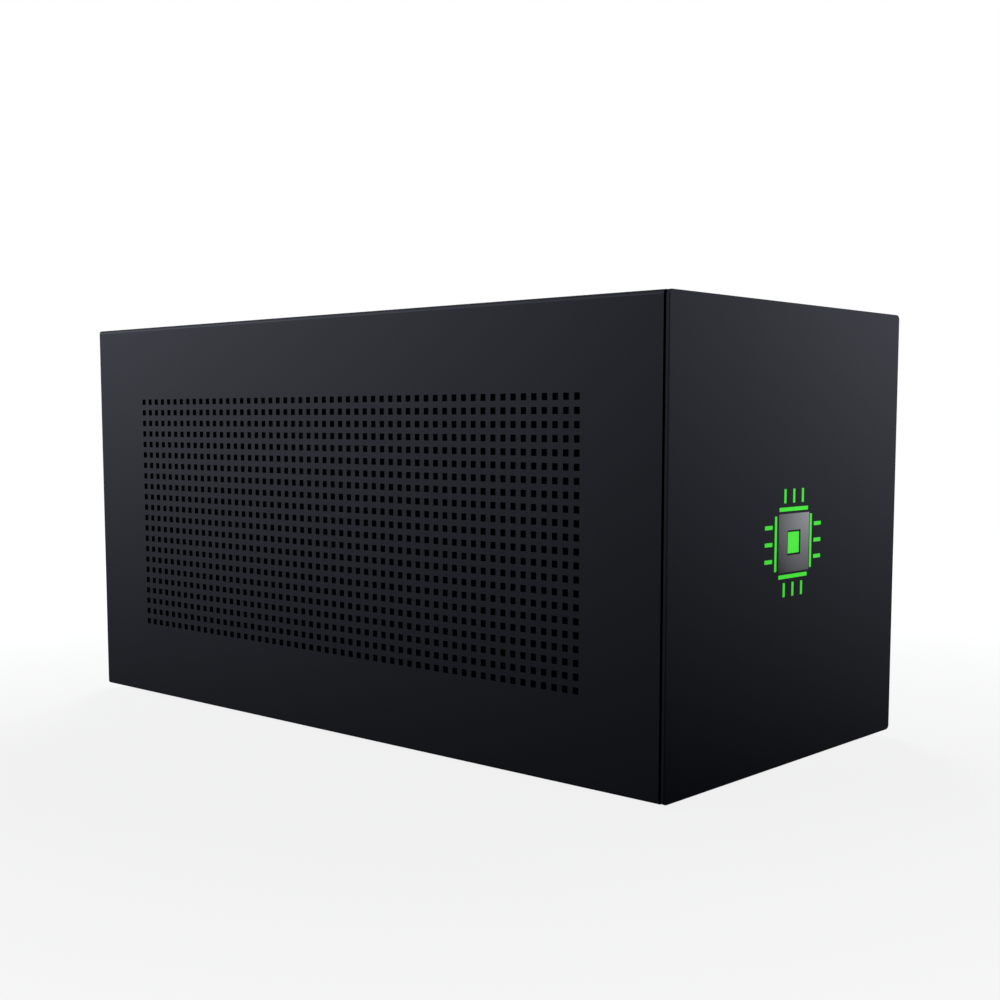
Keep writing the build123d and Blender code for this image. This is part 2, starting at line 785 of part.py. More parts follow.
sink_bottom = board_top + chip_height
fin_pitch = (sink_size - fin_thickness) / (fin_count - 1)
with BuildPart() as controller_heatsink:
    with BuildSketch(facing_front(chip_y + sink_size / 2)):
        with Locations((chip_x, sink_bottom)):
            Rectangle(sink_size, sink_base, align=(Align.CENTER, Align.MIN))
        with Locations((chip_x, sink_bottom + sink_height / 2)):
            with GridLocations(fin_pitch, 1, fin_count, 1):
                Rectangle(fin_thickness, sink_height)
    extrude(amount=sink_size)
finish(controller_heatsink, "controller_heatsink")

# Power socket, its plug and the harness from the supply
power_x = tab_right - power_from_edge - power_length / 2
power_y = (board_front_y + tab_back_y) / 2
plug_bottom = board_top + power_pin_plate + plug_gap
plug_top = plug_bottom + plug_height
with BuildPart() as power_socket:
    with BuildSketch(Plane.XY.offset(board_top)):
        with Locations((power_x, power_y)):
            Rectangle(power_length, power_width)
    extrude(amount=power_height)
    with BuildSketch(Plane.XY.offset(board_top + power_pin_plate)):
        with Locations((power_x, power_y)):
            Rectangle(power_length - 2 * power_wall, power_width - 2 * power_wall)
    extrude(amount=power_height, mode=Mode.SUBTRACT)
finish(power_socket, "power_socket")

with BuildPart() as harness_plug:
    with BuildSketch(Plane.XY.offset(plug_bottom)):
        with Locations((power_x, power_y)):
            Rectangle(power_length - 2 * (power_wall + plug_gap), power_width - 2 * (power_wall + plug_gap))
    extrude(amount=plug_height)
    chamfer(harness_plug.edges().group_by(Axis.Z)[-1], power_wall)
finish(harness_plug, "harness_plug")

outlet_front_y = supply_front_y - outlet_depth
outlet_z = supply_bottom + outlet_height
harness_points = [
    (power_x, outlet_front_y + outlet_recess, outlet_z),
    (power_x, power_y, outlet_z),
    (power_x, power_y, plug_top),
]
harness_bend = bend_share * min(outlet_front_y - power_y, outlet_z - plug_top)
with BuildPart() as supply_harness:
    with BuildLine() as harness_route:
        FilletPolyline(*harness_points, radius=harness_bend)
    with BuildSketch(facing_front(outlet_front_y + outlet_recess)):
        with Locations((power_x, outlet_z)):
            Rectangle(harness_width, harness_thickness)
    sweep(path=harness_route.line)
finish(supply_harness, "supply_harness")

# Fan blade in its own frame: axis along Z, span along X, one cambered section all the way out
rotor_depth = fan_depth - strut_depth - hub_end_gap - hub_inset
blade_plane = Plane(
    origin=(hub_radius - blade_root, 0, 0),
    x_dir=(0, cos(radians(blade_angle)), sin(radians(blade_angle))),
    z_dir=(1, 0, 0),
)
with BuildPart() as fan_blade:
    with BuildSketch(blade_plane):
        with BuildLine():
            Polyline(
                (-blade_chord / 2, 0),
                (-blade_bend, blade_camber),
                (blade_bend, blade_camber),
                (blade_chord / 2, 0),
                (blade_chord / 2, blade_thickness),
                (blade_bend, blade_camber + blade_thickness),
                (-blade_bend, blade_camber + blade_thickness),
                (-blade_chord / 2, blade_thickness),
                close=True,
            )
        make_face()
    extrude(amount=blade_tip - hub_radius + blade_root)

# Case fan frame: a square duct with a motor plate on four struts at its outer side
case_fan_plane = Plane(origin=(fan_inner_x, fan_y, casing_middle), x_dir=(0, 1, 0), z_dir=(1, 0, 0))
with BuildPart() as case_fan_frame:
    with BuildSketch(case_fan_plane):
        RectangleRounded(fan_size, fan_size, fan_corner)
        RegularPolygon(fan_bore, bore_facets, mode=Mode.SUBTRACT)
    extrude(amount=fan_depth)
    with BuildSketch(case_fan_plane.offset(fan_depth - strut_depth)):
        RegularPolygon(hub_radius, hub_facets)
        Rectangle(2 * fan_bore, strut_width, rotation=45)
        Rectangle(2 * fan_bore, strut_width, rotation=-45)
        RegularPolygon(shaft_radius + shaft_gap, pin_facets, major_radius=False, mode=Mode.SUBTRACT)
    extrude(amount=strut_depth)
finish(case_fan_frame, "case_fan_frame")

# Supply fan mount: a motor plate on four arms, each with a post to the supply's fan side
supply_fan_x = supply_right - supply_sheet - fan_depth
supply_fan_plane = Plane(
    origin=(supply_fan_x, supply_middle_y, supply_middle_z), x_dir=(0, 1, 0), z_dir=(-1, 0, 0)
).offset(-fan_depth)
arm_reach = fan_hole_pitch * 2**0.5
with BuildPart() as supply_fan_mount:
    with BuildSketch(supply_fan_plane.offset(fan_depth - strut_depth)):
        RegularPolygon(hub_radius, hub_facets)
        Rectangle(arm_reach, mount_arm, rotation=45)
        Rectangle(arm_reach, mount_arm, rotation=-45)
        RegularPolygon(shaft_radius + shaft_gap, pin_facets, major_radius=False, mode=Mode.SUBTRACT)
    extrude(amount=strut_depth)
    with BuildSketch(supply_fan_plane):
        with GridLocations(fan_hole_pitch, fan_hole_pitch, 2, 2):
            Rectangle(mount_post, mount_post)
    extrude(amount=fan_depth)
finish(supply_fan_mount, "supply_fan_mount")

# Rotors: a hub with a shaft in the motor plate and curved blades
for name, fan_plane in (("case_fan_rotor", case_fan_plane), ("supply_fan_rotor", supply_fan_plane)):
    with BuildPart() as fan_rotor:
        with BuildSketch(fan_plane.offset(hub_inset)):
            RegularPolygon(hub_radius, hub_facets)
        extrude(amount=rotor_depth)
        with BuildSketch(fan_plane.offset(hub_inset + rotor_depth)):
            RegularPolygon(shaft_radius, pin_facets)
        extrude(amount=hub_end_gap + shaft_length)
        rotor_middle = fan_plane.offset(hub_inset + rotor_depth / 2).location
        for turn in range(blade_count):
            add(rotor_middle * Rot(0, 0, turn * 360 / blade_count) * fan_blade.part)
    finish(fan_rotor, name)

# Screws of the case fan: heads on the fan posts
with BuildPart() as case_fan_screws:
    with BuildSketch(facing_right(fan_outer_x + chassis_sheet)):
        with Locations(*fan_holes):
            RegularPolygon(head_radius, 6)
    extrude(amount=head_height)
finish(case_fan_screws, "case_fan_screws")

# Leads from the case fan and the badge light to their headers on the board
fan_lead_x = fan_inner_x + header_width
fan_lead_z = board_top + lead_height
fan_lead_points = [
    (fan_lead_x, header_y, casing_middle - fan_size / 2),
    (fan_lead_x, header_y, fan_lead_z),
    (fan_header_x + header_width / 2, header_y, fan_lead_z),
]
fan_lead_bend = bend_share * min(
    fan_lead_x - fan_header_x - header_width / 2, casing_middle - fan_size / 2 - fan_lead_z
)
light_lead_y = frame_back_y + housing_depth / 2
light_lead_low = pan_floor + lead_thickness / 2
light_lead_rise = 2 * header_length
light_lead_points = [
    (lead_header_x, light_lead_y, badge_z - guide_size / 2 - housing_wall),
    (lead_header_x, light_lead_y, light_lead_low),
    (lead_header_x, board_front_y - 2 * light_lead_rise, light_lead_low),
    (lead_header_x, board_front_y - light_lead_rise / 2, fan_lead_z),
    (lead_header_x, header_y - header_length / 2, fan_lead_z),
]
lead_routes = {
    "fan_lead": (fan_lead_points, fan_lead_bend, (0, 1, 0)),
    "light_lead": (light_lead_points, light_lead_rise, (1, 0, 0)),
}
for name, (points, bend, across) in lead_routes.items():
    with BuildPart() as lead:
        with BuildLine() as lead_route:
            FilletPolyline(*points, radius=bend)
        with BuildSketch(Plane(origin=points[0], x_dir=across, z_dir=(0, 0, -1))):
            Rectangle(lead_width, lead_thickness)
        sweep(path=lead_route.line)
    finish(lead, name)

# Power supply cradle: a folded stand that lifts the supply off the pan
cradle_width = supply_width - 2 * cradle_inset
with BuildPart() as supply_cradle:
    with BuildSketch(facing_front(panel_front_y - cradle_inset)):
        with Locations((supply_middle_x, pan_floor)):
            Rectangle(cradle_width, cradle_height, align=(Align.CENTER, Align.MIN))
            Rectangle(
                cradle_width - 2 * chassis_sheet,
                cradle_height - chassis_sheet,
                align=(Align.CENTER, Align.MIN),
                mode=Mode.SUBTRACT,
            )
    extrude(amount=supply_depth - 2 * cradle_inset)
finish(supply_cradle, "supply_cradle")

# Power supply tray: rear, left and front walls folded from one sheet, with a honeycomb vent behind
inlet_x = supply_left + inlet_from_left
inlet_z = supply_top - inlet_from_top
switch_x = supply_fan_x - switch_fan_gap - bezel_width / 2 + bezel_flange
vent_z = (supply_bottom + vent_border + inlet_z - inlet_length / 2) / 2
tray_height = supply_height - 2 * supply_sheet
with BuildPart() as supply_tray:
    with BuildSketch(Plane.XY.offset(supply_bottom + supply_sheet)):
        with Locations((supply_left, supply_middle_y)):
            Rectangle(supply_width - supply_sheet, supply_depth, align=(Align.MIN, Align.CENTER))
        with Locations((supply_left + supply_sheet, supply_middle_y)):
            Rectangle(
                supply_width,
                supply_depth - 2 * supply_sheet,
                align=(Align.MIN, Align.CENTER),
                mode=Mode.SUBTRACT,
            )
    extrude(amount=tray_height)
    with BuildSketch(facing_front(panel_front_y)):
        with Locations((supply_middle_x, vent_z)):
            with HexLocations(vent_hex_pitch, vent_hex_columns, vent_hex_rows):
                RegularPolygon(vent_hex_radius, 6, rotation=30)
        with Locations((inlet_x, inlet_z)):
            Rectangle(inlet_width + 2 * inlet_gap, inlet_length + 2 * inlet_gap)
        with Locations((switch_x, inlet_z)):
            Rectangle(
                bezel_width - 2 * bezel_flange + 2 * inlet_gap,
                bezel_length - 2 * bezel_flange + 2 * inlet_gap,
            )
    extrude(amount=supply_sheet, mode=Mode.SUBTRACT)
finish(supply_tray, "supply_tray")

# Power supply cover: bottom, fan side and top folded from one sheet
with BuildPart() as supply_cover:
    with BuildSketch(facing_front(panel_front_y)):
        with Locations((supply_left, supply_middle_z)):
            Rectangle(supply_width, supply_height, align=(Align.MIN, Align.CENTER))
            Rectangle(
                supply_width - supply_sheet, tray_height, align=(Align.MIN, Align.CENTER), mode=Mode.SUBTRACT
            )
    extrude(amount=supply_depth)
    with BuildSketch(facing_right(supply_right)):
        with Locations((supply_middle_y, supply_middle_z)):
            with GridLocations(1, fan_slot_pitch, 1, fan_slots):
                Rectangle(fan_slot_length, fan_slot_width)
    extrude(amount=-supply_sheet, mode=Mode.SUBTRACT)
finish(supply_cover, "supply_cover")

# Circuit board of the supply, on feet against the tray, with transformer, capacitors and cooling plates
circuit_x = supply_left + supply_sheet + circuit_gap
circuit_top = circuit_x + circuit_thickness
circuit_length = supply_depth - 2 * supply_sheet - inlet_depth - 2 * circuit_margin
circuit_height = tray_height - 2 * circuit_margin
circuit_y = supply_front_y + supply_sheet + circuit_margin + circuit_length / 2
part_room = supply_width - 2 * supply_sheet - fan_depth - circuit_gap - circuit_thickness - circuit_margin
with BuildPart() as supply_board:
    with BuildSketch(facing_right(circuit_x)):
        with Locations((circuit_y, supply_middle_z)):
            Rectangle(circuit_length, circuit_height)
    extrude(amount=circuit_thickness)
    with BuildSketch(facing_right(circuit_x)):
        with Locations((circuit_y, supply_middle_z)):
            with GridLocations(circuit_length - circuit_foot, circuit_height - circuit_foot, 2, 2):
                Rectangle(circuit_foot, circuit_foot)
    extrude(amount=-circuit_gap)
    with BuildSketch(facing_right(circuit_top)):
        with Locations((circuit_y, supply_middle_z)):
            Rectangle(transformer_length_share * circuit_length, transformer_height_share * circuit_height)
            with GridLocations(2 * cooling_plate_offset_share * circuit_length, 1, 2, 1):
                Rectangle(cooling_plate, cooling_plate_height_share * circuit_height)
    extrude(amount=tall_part_share * part_room)
    with BuildSketch(facing_right(circuit_top)):
        with Locations((circuit_y, supply_middle_z)):
            with GridLocations(1, capacitor_pitch_share * circuit_height, 1, 2):
                RegularPolygon(capacitor_radius_share * circuit_length, knob_facets)
    extrude(amount=capacitor_share * part_room)
finish(supply_board, "supply_board")

# Mains inlet: a shrouded socket with three pins
with BuildPart() as mains_inlet:
    with BuildSketch(facing_front(panel_front_y)):
        with Locations((inlet_x, inlet_z)):
            Rectangle(inlet_width, inlet_length)
    extrude(amount=inlet_depth)
    with BuildSketch(facing_front(panel_back_y)):
        with Locations((inlet_x, inlet_z)):
            Rectangle(inlet_width + 2 * inlet_flange, inlet_length + 2 * inlet_flange)
    extrude(amount=chassis_sheet)
    with BuildSketch(facing_front(panel_back_y)) as mouth:
        with Locations((inlet_x, inlet_z)):
            Rectangle(inlet_width - 2 * inlet_wall, inlet_length - 2 * inlet_wall)
        chamfer(mouth.vertices().group_by(Axis.X)[-1], 2.5 * inlet_wall)
    extrude(amount=inlet_mouth, mode=Mode.SUBTRACT)
    with BuildSketch(facing_front(panel_back_y - inlet_mouth)):
        for rise, offset in ((pin_rise, 0), (-pin_rise, pin_pitch), (-pin_rise, -pin_pitch)):
            with Locations((inlet_x + rise, inlet_z + offset)):
                Rectangle(pin_width, pin_thickness)
    extrude(amount=-pin_length)
finish(mains_inlet, "mains_inlet")

# Mains switch: a bezel with a rocker that tilts about a cross axis, shown tilted to its lower side
rocker_y = panel_back_y - rocker_pivot
rocker_length = bezel_length - 2 * bezel_wall - 2 * rocker_gap
rocker_width = bezel_width - 2 * bezel_wall - 2 * seat_gap
with BuildPart() as switch_bezel:
    with BuildSketch(facing_front(panel_back_y)):
        with Locations((switch_x, inlet_z)):
            Rectangle(bezel_width, bezel_length)
    extrude(amount=chassis_sheet)
    with BuildSketch(facing_front(panel_front_y)):
        with Locations((switch_x, inlet_z)):
            Rectangle(bezel_width - 2 * bezel_flange, bezel_length - 2 * bezel_flange)
    extrude(amount=bezel_depth)
    with BuildSketch(facing_front(panel_back_y)):
        with Locations((switch_x, inlet_z)):
            Rectangle(bezel_width - 2 * bezel_wall, bezel_length - 2 * bezel_wall)
    extrude(amount=bezel_depth, mode=Mode.SUBTRACT)
finish(switch_bezel, "switch_bezel")

rocker_plane = Plane(
    origin=(switch_x, rocker_y, inlet_z),
    x_dir=(0, cos(radians(rocker_tilt)), -sin(radians(rocker_tilt))),
    z_dir=(1, 0, 0),
)
with BuildPart() as mains_switch:
    with BuildSketch(rocker_plane.offset(-rocker_width / 2)):
        with BuildLine():
            Polyline(
                (-rocker_foot, -rocker_length / 5),
                (0, -rocker_length / 2),
                (rocker_pivot + rocker_rise, -rocker_length / 2),
                (rocker_pivot - rocker_rise / 2, 0),
                (rocker_pivot + rocker_rise, rocker_length / 2),
                (0, rocker_length / 2),
                (-rocker_foot, rocker_length / 5),
                close=True,
            )
        make_face()
    extrude(amount=rocker_width)
finish(mains_switch, "mains_switch")

# Output sockets on the supply's front wall, in rows
with BuildPart() as supply_sockets:
    with BuildSketch(facing_front(supply_front_y)):
        with Locations((power_x, outlet_z - outlet_width / 2)):
            Rectangle(outlet_length, outlet_rows * outlet_width, align=(Align.CENTER, Align.MIN))
    extrude(amount=outlet_depth)
    with BuildSketch(facing_front(outlet_front_y)):
        with Locations(*[(power_x, outlet_z + row * outlet_width) for row in range(outlet_rows)]):
            Rectangle(outlet_length - 2 * outlet_wall, outlet_width - 2 * outlet_wall)
    extrude(amount=-outlet_recess, mode=Mode.SUBTRACT)
finish(supply_sockets, "supply_sockets")

# Screws of the supply: heads on the rear panel
with BuildPart() as supply_screws:
    with BuildSketch(facing_front(panel_back_y)):
        with Locations(*supply_holes):
            RegularPolygon(head_radius, 6)
    extrude(amount=-head_height)
finish(supply_screws, "supply_screws")
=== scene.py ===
import json
import math
import bpy
import numpy as np
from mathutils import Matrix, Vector


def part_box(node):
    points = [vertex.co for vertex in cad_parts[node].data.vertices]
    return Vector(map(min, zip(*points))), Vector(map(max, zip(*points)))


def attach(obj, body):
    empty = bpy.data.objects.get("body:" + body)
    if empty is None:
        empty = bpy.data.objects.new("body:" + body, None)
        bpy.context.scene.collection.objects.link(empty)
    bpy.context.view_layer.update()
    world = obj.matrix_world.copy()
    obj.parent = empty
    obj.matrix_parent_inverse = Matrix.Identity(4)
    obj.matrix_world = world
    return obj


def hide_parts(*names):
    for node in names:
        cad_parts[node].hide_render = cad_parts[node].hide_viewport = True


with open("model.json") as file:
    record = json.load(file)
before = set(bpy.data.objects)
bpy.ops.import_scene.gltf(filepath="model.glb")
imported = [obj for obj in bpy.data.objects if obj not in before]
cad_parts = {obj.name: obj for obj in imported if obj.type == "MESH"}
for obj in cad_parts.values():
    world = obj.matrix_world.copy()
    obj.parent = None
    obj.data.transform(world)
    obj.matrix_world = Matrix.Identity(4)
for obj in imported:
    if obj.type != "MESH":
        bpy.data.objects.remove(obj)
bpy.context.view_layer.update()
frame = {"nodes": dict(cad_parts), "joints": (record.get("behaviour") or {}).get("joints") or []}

# Chassis sheets: base pan, front frame, rear panel, slot frame, rails and fan posts.
# They are folded from 1.2 mm steel, spot welded into one open frame and powder coated matte black.
# The CAD nodes carry the true folds and windows, so they stay and only get their coat here.
MM = 0.001
GROUP_OUTPUTS = {"Color": "Color", "Roughness": "Float", "Height": "Float"}
GRAIN_INPUTS = {"Vector": "Vector", "Color": "Color", "Variation": "Float", "Roughness": "Float",
                "Spread": "Float", "Scale": "Float"}
BROAD_SCALE, BROAD_DETAIL = 14.0, 3.0


def feed(tree, node, inputs):
    """Feeds a node's inputs, by label or number, with other nodes' outputs or plain values."""
    for label, value in inputs.items():
        if isinstance(value, bpy.types.NodeSocket):
            tree.links.new(value, node.inputs[label])
        else:
            node.inputs[label].default_value = value
    return node


def add_node(tree, kind, inputs=(), **settings):
    """New shader node with its settings made and its inputs fed."""
    node = tree.nodes.new(f"ShaderNode{kind}")
    for label, value in settings.items():
        setattr(node, label, value)
    return feed(tree, node, dict(inputs))


def math_node(tree, operation, *operands):
    """Output of a math node. Each operand is a number or another node's output."""
    return add_node(tree, "Math", dict(enumerate(operands)), operation=operation).outputs[0]


def noise_node(tree, vector, scale, detail=2.0):
    """Output of a noise texture on a vector."""
    return add_node(tree, "TexNoise", {"Vector": vector, "Scale": scale, "Detail": detail}).outputs["Fac"]


def texture_group(name, inputs):
    """Shader node group with inputs given as label and kind. It puts out a colour, a roughness and a height.
    Returns the group, its inputs by label and the node that its outputs are fed to."""
    group = bpy.data.node_groups.new(name, "ShaderNodeTree")
    for label, kind in inputs.items():
        group.interface.new_socket(label, in_out="INPUT", socket_type=f"NodeSocket{kind}")
    for label, kind in GROUP_OUTPUTS.items():
        group.interface.new_socket(label, in_out="OUTPUT", socket_type=f"NodeSocket{kind}")
    return group, group.nodes.new("NodeGroupInput").outputs, group.nodes.new("NodeGroupOutput")


def mottle(tree, given, result, broad, fine):
    """Feeds a group's outputs from two noises: colour * (1 + variation * (2 * broad - 1)),
    roughness + spread * (fine - 0.5), and the fine noise as the height."""
    swing = math_node(tree, "MULTIPLY_ADD", broad, 2.0, -1.0)
    value = math_node(tree, "MULTIPLY_ADD", swing, given["Variation"], 1.0)
    shade = add_node(tree, "HueSaturation", {"Value": value, "Color": given["Color"]})
    offset = math_node(tree, "SUBTRACT", fine, 0.5)
    gloss = math_node(tree, "MULTIPLY_ADD", offset, given["Spread"], given["Roughness"])
    feed(tree, result, {"Color": shade.outputs["Color"], "Roughness": gloss, "Height": fine})


def grain_group():
    """Coat or moulding grain: fine noise gives height and gloss, broad noise a slow change of shade."""
    tree, given, result = texture_group("grain", GRAIN_INPUTS)
    fine = noise_node(tree, given["Vector"], given["Scale"])
    broad = noise_node(tree, given["Vector"], BROAD_SCALE, BROAD_DETAIL)
    mottle(tree, given, result, broad, fine)
    return tree


GRAIN = grain_group()


def finish(name, group, values, bump, depth, sockets):
    """Material whose colour, roughness and bump come from a texture group on Object coordinates.
    Values go to the group's inputs, and sockets are set on the Principled shader itself."""
    look = bpy.data.materials.new(name)
    look.use_nodes = True
    tree = look.node_tree
    place = add_node(tree, "TexCoord").outputs["Object"]
    texture = add_node(tree, "Group", {"Vector": place, **values}, node_tree=group, name="texture").outputs
    relief = add_node(tree, "Bump", {"Strength": bump, "Distance": depth, "Height": texture["Height"]})
    feed(tree, tree.nodes["Principled BSDF"], {
        "Base Color": texture["Color"],
        "Roughness": texture["Roughness"],
        "Normal": relief.outputs["Normal"],
        **sockets,
    })
    return look


def coat(name, colour, roughness, scale, variation=0.08, spread=0.12, bump=0.25, depth=0.05 * MM, **sockets):
    """Grain finish of one colour. Sockets are Principled inputs, with underscores for spaces."""
    values = {"Color": (*colour, 1), "Variation": variation, "Roughness": roughness, "Spread": spread,
              "Scale": scale}
    return finish(name, GRAIN, values, bump, depth, {k.replace("_", " "): v for k, v in sockets.items()})


def dress(look, *names):
    """Gives CAD nodes a material."""
    for name in names:
        for slot in frame["nodes"][name].material_slots:
            slot.material = look


chassis_coat = coat("chassis_coat", (0.014, 0.014, 0.016), roughness=0.55, scale=1400.0,
                    Specular_IOR_Level=0.3)
dress(chassis_coat, "base_pan", "front_frame", "rear_panel", "slot_frame", "center_rail", "side_rail",
      "fan_post_front", "fan_post_rear")

# Slot covers and their screws: vented steel strips that close the card brackets' openings.
# Each strip is stamped, coated like the chassis and held by one zinc-plated pan-head screw on the ledge.
# The CAD gives the strips. The heads get their dome and cross recess here.
CREASE = 40
CASE_HEAD = (3.4 * MM, 2.2 * MM)
HEAD_SIDES = 64
HEAD_SPACE = 9 * MM


def put(name, data):
    """New object in the scene for a mesh, a lamp or a camera."""
    thing = bpy.data.objects.new(name, data)
    bpy.context.scene.collection.objects.link(thing)
    return thing


def skin(name, points, faces, look, body, slot, replaces=(), smooth=None):
    """Mesh object at the origin from points and a list of face index arrays, one array per corner count.
    It takes a material, rides a body and may stand for CAD nodes. It is flat shaded, or smooth with sharp
    edges where they bend by more than the smooth angle in degrees."""
    mesh = bpy.data.meshes.new(name)
    faces = [np.asarray(part, np.int32) for part in faces]
    sizes = np.concatenate([np.full(len(part), part.shape[1], np.int32) for part in faces])
    corners = np.concatenate([part.ravel() for part in faces])
    mesh.vertices.add(len(points))
    mesh.vertices.foreach_set("co", np.asarray(points, np.float32).ravel())
    mesh.loops.add(len(corners))
    mesh.loops.foreach_set("vertex_index", corners)
    mesh.polygons.add(len(sizes))
    mesh.polygons.foreach_set("loop_start", np.concatenate([[0], np.cumsum(sizes)[:-1]]).astype(np.int32))
    mesh.update(calc_edges=True)
    mesh.validate()
    if smooth is None:
        mesh.shade_flat()
    else:
        mesh.shade_smooth()
        mesh.set_sharp_from_angle(angle=math.radians(smooth))
    mesh.materials.append(look)
    piece = put(name, mesh)
    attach(piece, body)
    if replaces:
        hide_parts(*replaces)
    return piece


def grid_quads(rows, columns, wrap=False):
    """Quads of a grid of points in row order, with the last column joined to the first where wrap is true."""
    index = np.arange(rows * columns).reshape(rows, columns)
    if wrap:
        index = np.concatenate([index, index[:, :1]], 1)
    return np.stack([index[:-1, :-1], index[:-1, 1:], index[1:, 1:], index[1:, :-1]], -1).reshape(-1, 4)


def turned(points, axis):
    """Points made with their axis along Z, turned so that it lies along x, y or z, or backwards for -x."""
    points = points[..., {"x": (2, 0, 1), "y": (1, 2, 0), "z": (0, 1, 2)}[axis[-1]]]
    return points * [-1, -1, 1] if axis == "-x" else points


def repeated(faces, size, count):
    """Faces of one shape, repeated for several shapes that each have their own points."""
    shifts = size * np.arange(count)[:, None, None]
    return [(part[None] + shifts).reshape(-1, part.shape[1]) for part in faces]


def copies(points, faces, places):
    """One shape repeated at several places, as points and faces of a single mesh."""
    places = np.asarray(places, float)
    return (points + places[:, None]).reshape(-1, 3), repeated(faces, len(points), len(places))


def screw_head(radius, height, axis):
    """Pan head with a cross recess, seated at the origin. At share s of the radius the dome is at
    height * (1 - drop * s ** 4), less depth * height in the recess. Its arms have sloping walls, which end
    at the edge of an arm on both sides of its middle line and at its tip."""
    drop, depth = 0.55, 0.55
    arm_edge, arm_slope, arm_tip, tip_slope = 0.13, 0.05, 0.64, 0.06
    share = np.concatenate([np.linspace(0.02, 0.66, 12), [0.75, 0.85, 0.93, 0.98, 1.0]])[:, None]
    angle = np.linspace(0, 2 * np.pi, HEAD_SIDES, endpoint=False)
    x, y = share * np.cos(angle), share * np.sin(angle)
    arm = np.clip((arm_edge - np.minimum(abs(x), abs(y))) / arm_slope, 0, 1)
    reach = np.clip((arm_tip - share) / tip_slope, 0, 1)
    dome = np.stack([x, y, 1 - drop * share ** 4 - depth * arm * reach], -1).reshape(-1, 3)
    seat = np.stack([x[-1], y[-1], np.zeros(HEAD_SIDES)], -1)
    points = np.concatenate([dome, seat, [[0, 0, 1 - depth]]]) * [radius, radius, height]
    ring = np.arange(HEAD_SIDES)
    walls = grid_quads(len(share) + 1, HEAD_SIDES, True)[:, ::-1]
    middle = np.stack([np.full(HEAD_SIDES, len(points) - 1), ring, np.roll(ring, -1)], -1)
    under = HEAD_SIDES * len(share) + ring[None, ::-1]
    return turned(points, axis), [walls, middle, under]


def read(items, label, width=3):
    """A property of all of a mesh's vertices or faces, as an array with one row for each."""
    values = np.empty(width * len(items), np.float32)
    items.foreach_get(label, values)
    return values.reshape(-1, width)


def node_heads(node, axis):
    """Middles of a node's separate screw heads on their seat. A head is all vertices near one of its own."""
    rest = read(frame["nodes"][node].data.vertices, "co")
    height = "xyz".index(axis)
    seat = rest[:, height].min()
    middles = []
    while len(rest):
        near = np.linalg.norm(rest - rest[0], axis=1) < HEAD_SPACE
        middles.append((rest[near].min(0) + rest[near].max(0)) / 2)
        rest = rest[~near]
    middles = np.array(middles)
    middles[:, height] = seat
    return middles


def brushed_group():
    """Drawn or plated metal: noise on coordinates stretched along the drawing direction."""
    tree, given, result = texture_group("brushed", {**GRAIN_INPUTS, "Stretch": "Vector"})
    stretch = add_node(tree, "VectorMath", {0: given["Vector"], 1: given["Stretch"]}, operation="MULTIPLY")
    streak = noise_node(tree, stretch.outputs[0], given["Scale"], detail=4.0)
    mottle(tree, given, result, streak, streak)
    return tree


BRUSHED = brushed_group()


def metal(name, colour, roughness, stretch):
    """Brushed or plated metal finish with its streaks along the axis of the smallest stretch."""
    values = {"Color": (*colour, 1), "Variation": 0.12, "Roughness": roughness, "Spread": 0.2, "Scale": 900.0,
              "Stretch": stretch}
    return finish(name, BRUSHED, values, bump=0.15, depth=0.03 * MM, sockets={"Metallic": 1.0})


zinc_plate = metal("zinc_plate", (0.62, 0.62, 0.63), roughness=0.32, stretch=(1, 1, 0.3))


def heads(name, size, axis, places, replaces=()):
    """Zinc-plated screw heads of one radius and height, seated at their places along an axis."""
    points, faces = copies(*screw_head(*size, axis), places)
    skin(name, points, faces, zinc_plate, "chassis", "bright_steel", replaces, CREASE)


dress(chassis_coat, "slot_cover_1", "slot_cover_2", "slot_cover_3", "slot_cover_4")
heads("slot_screw_heads", CASE_HEAD, "z", node_heads("slot_screws", "z"), ["slot_screws"])

# Feet: four soft rubber pads under the pan, between the cover's hems.
# They are moulded with a bevelled sole and held by their own adhesive.
# The CAD solids carry the form, and the rubber gets a matte, slightly mottled surface.
rubber = coat("foot_rubber", (0.018, 0.018, 0.018), roughness=0.8, scale=2200.0, variation=0.15, spread=0.1,
              bump=0.4, depth=0.08 * MM, Specular_IOR_Level=0.25)
dress(rubber, "foot_front_left", "foot_front_right", "foot_rear_left", "foot_rear_right")

# Interface board: a four-layer circuit board on hexagonal standoffs with the card socket and its latch.
# Solder mask over copper tracks covers it, and small parts stand round the controller's heat sink.
# Board, sockets and sink are CAD nodes. Screws, small parts, headers and contacts are added here.
TRACK_INPUTS = {"Vector": "Vector", "Color": "Color", "Track Color": "Color"}
TRACK_CELL, TRACK_PITCH, TRACK_HALF = 15 * MM, 1.1 * MM, 0.24
TRACK_TURNED, TRACK_FREE = 0.5, 0.3


def colour_mix(tree, share, first, second):
    """Colour from the first to the second by a share from 0 to 1. A Mix node's colour sockets are its inputs
    6 and 7 and its output 2."""
    return add_node(tree, "Mix", {0: share, 6: first, 7: second}, data_type="RGBA").outputs[2]


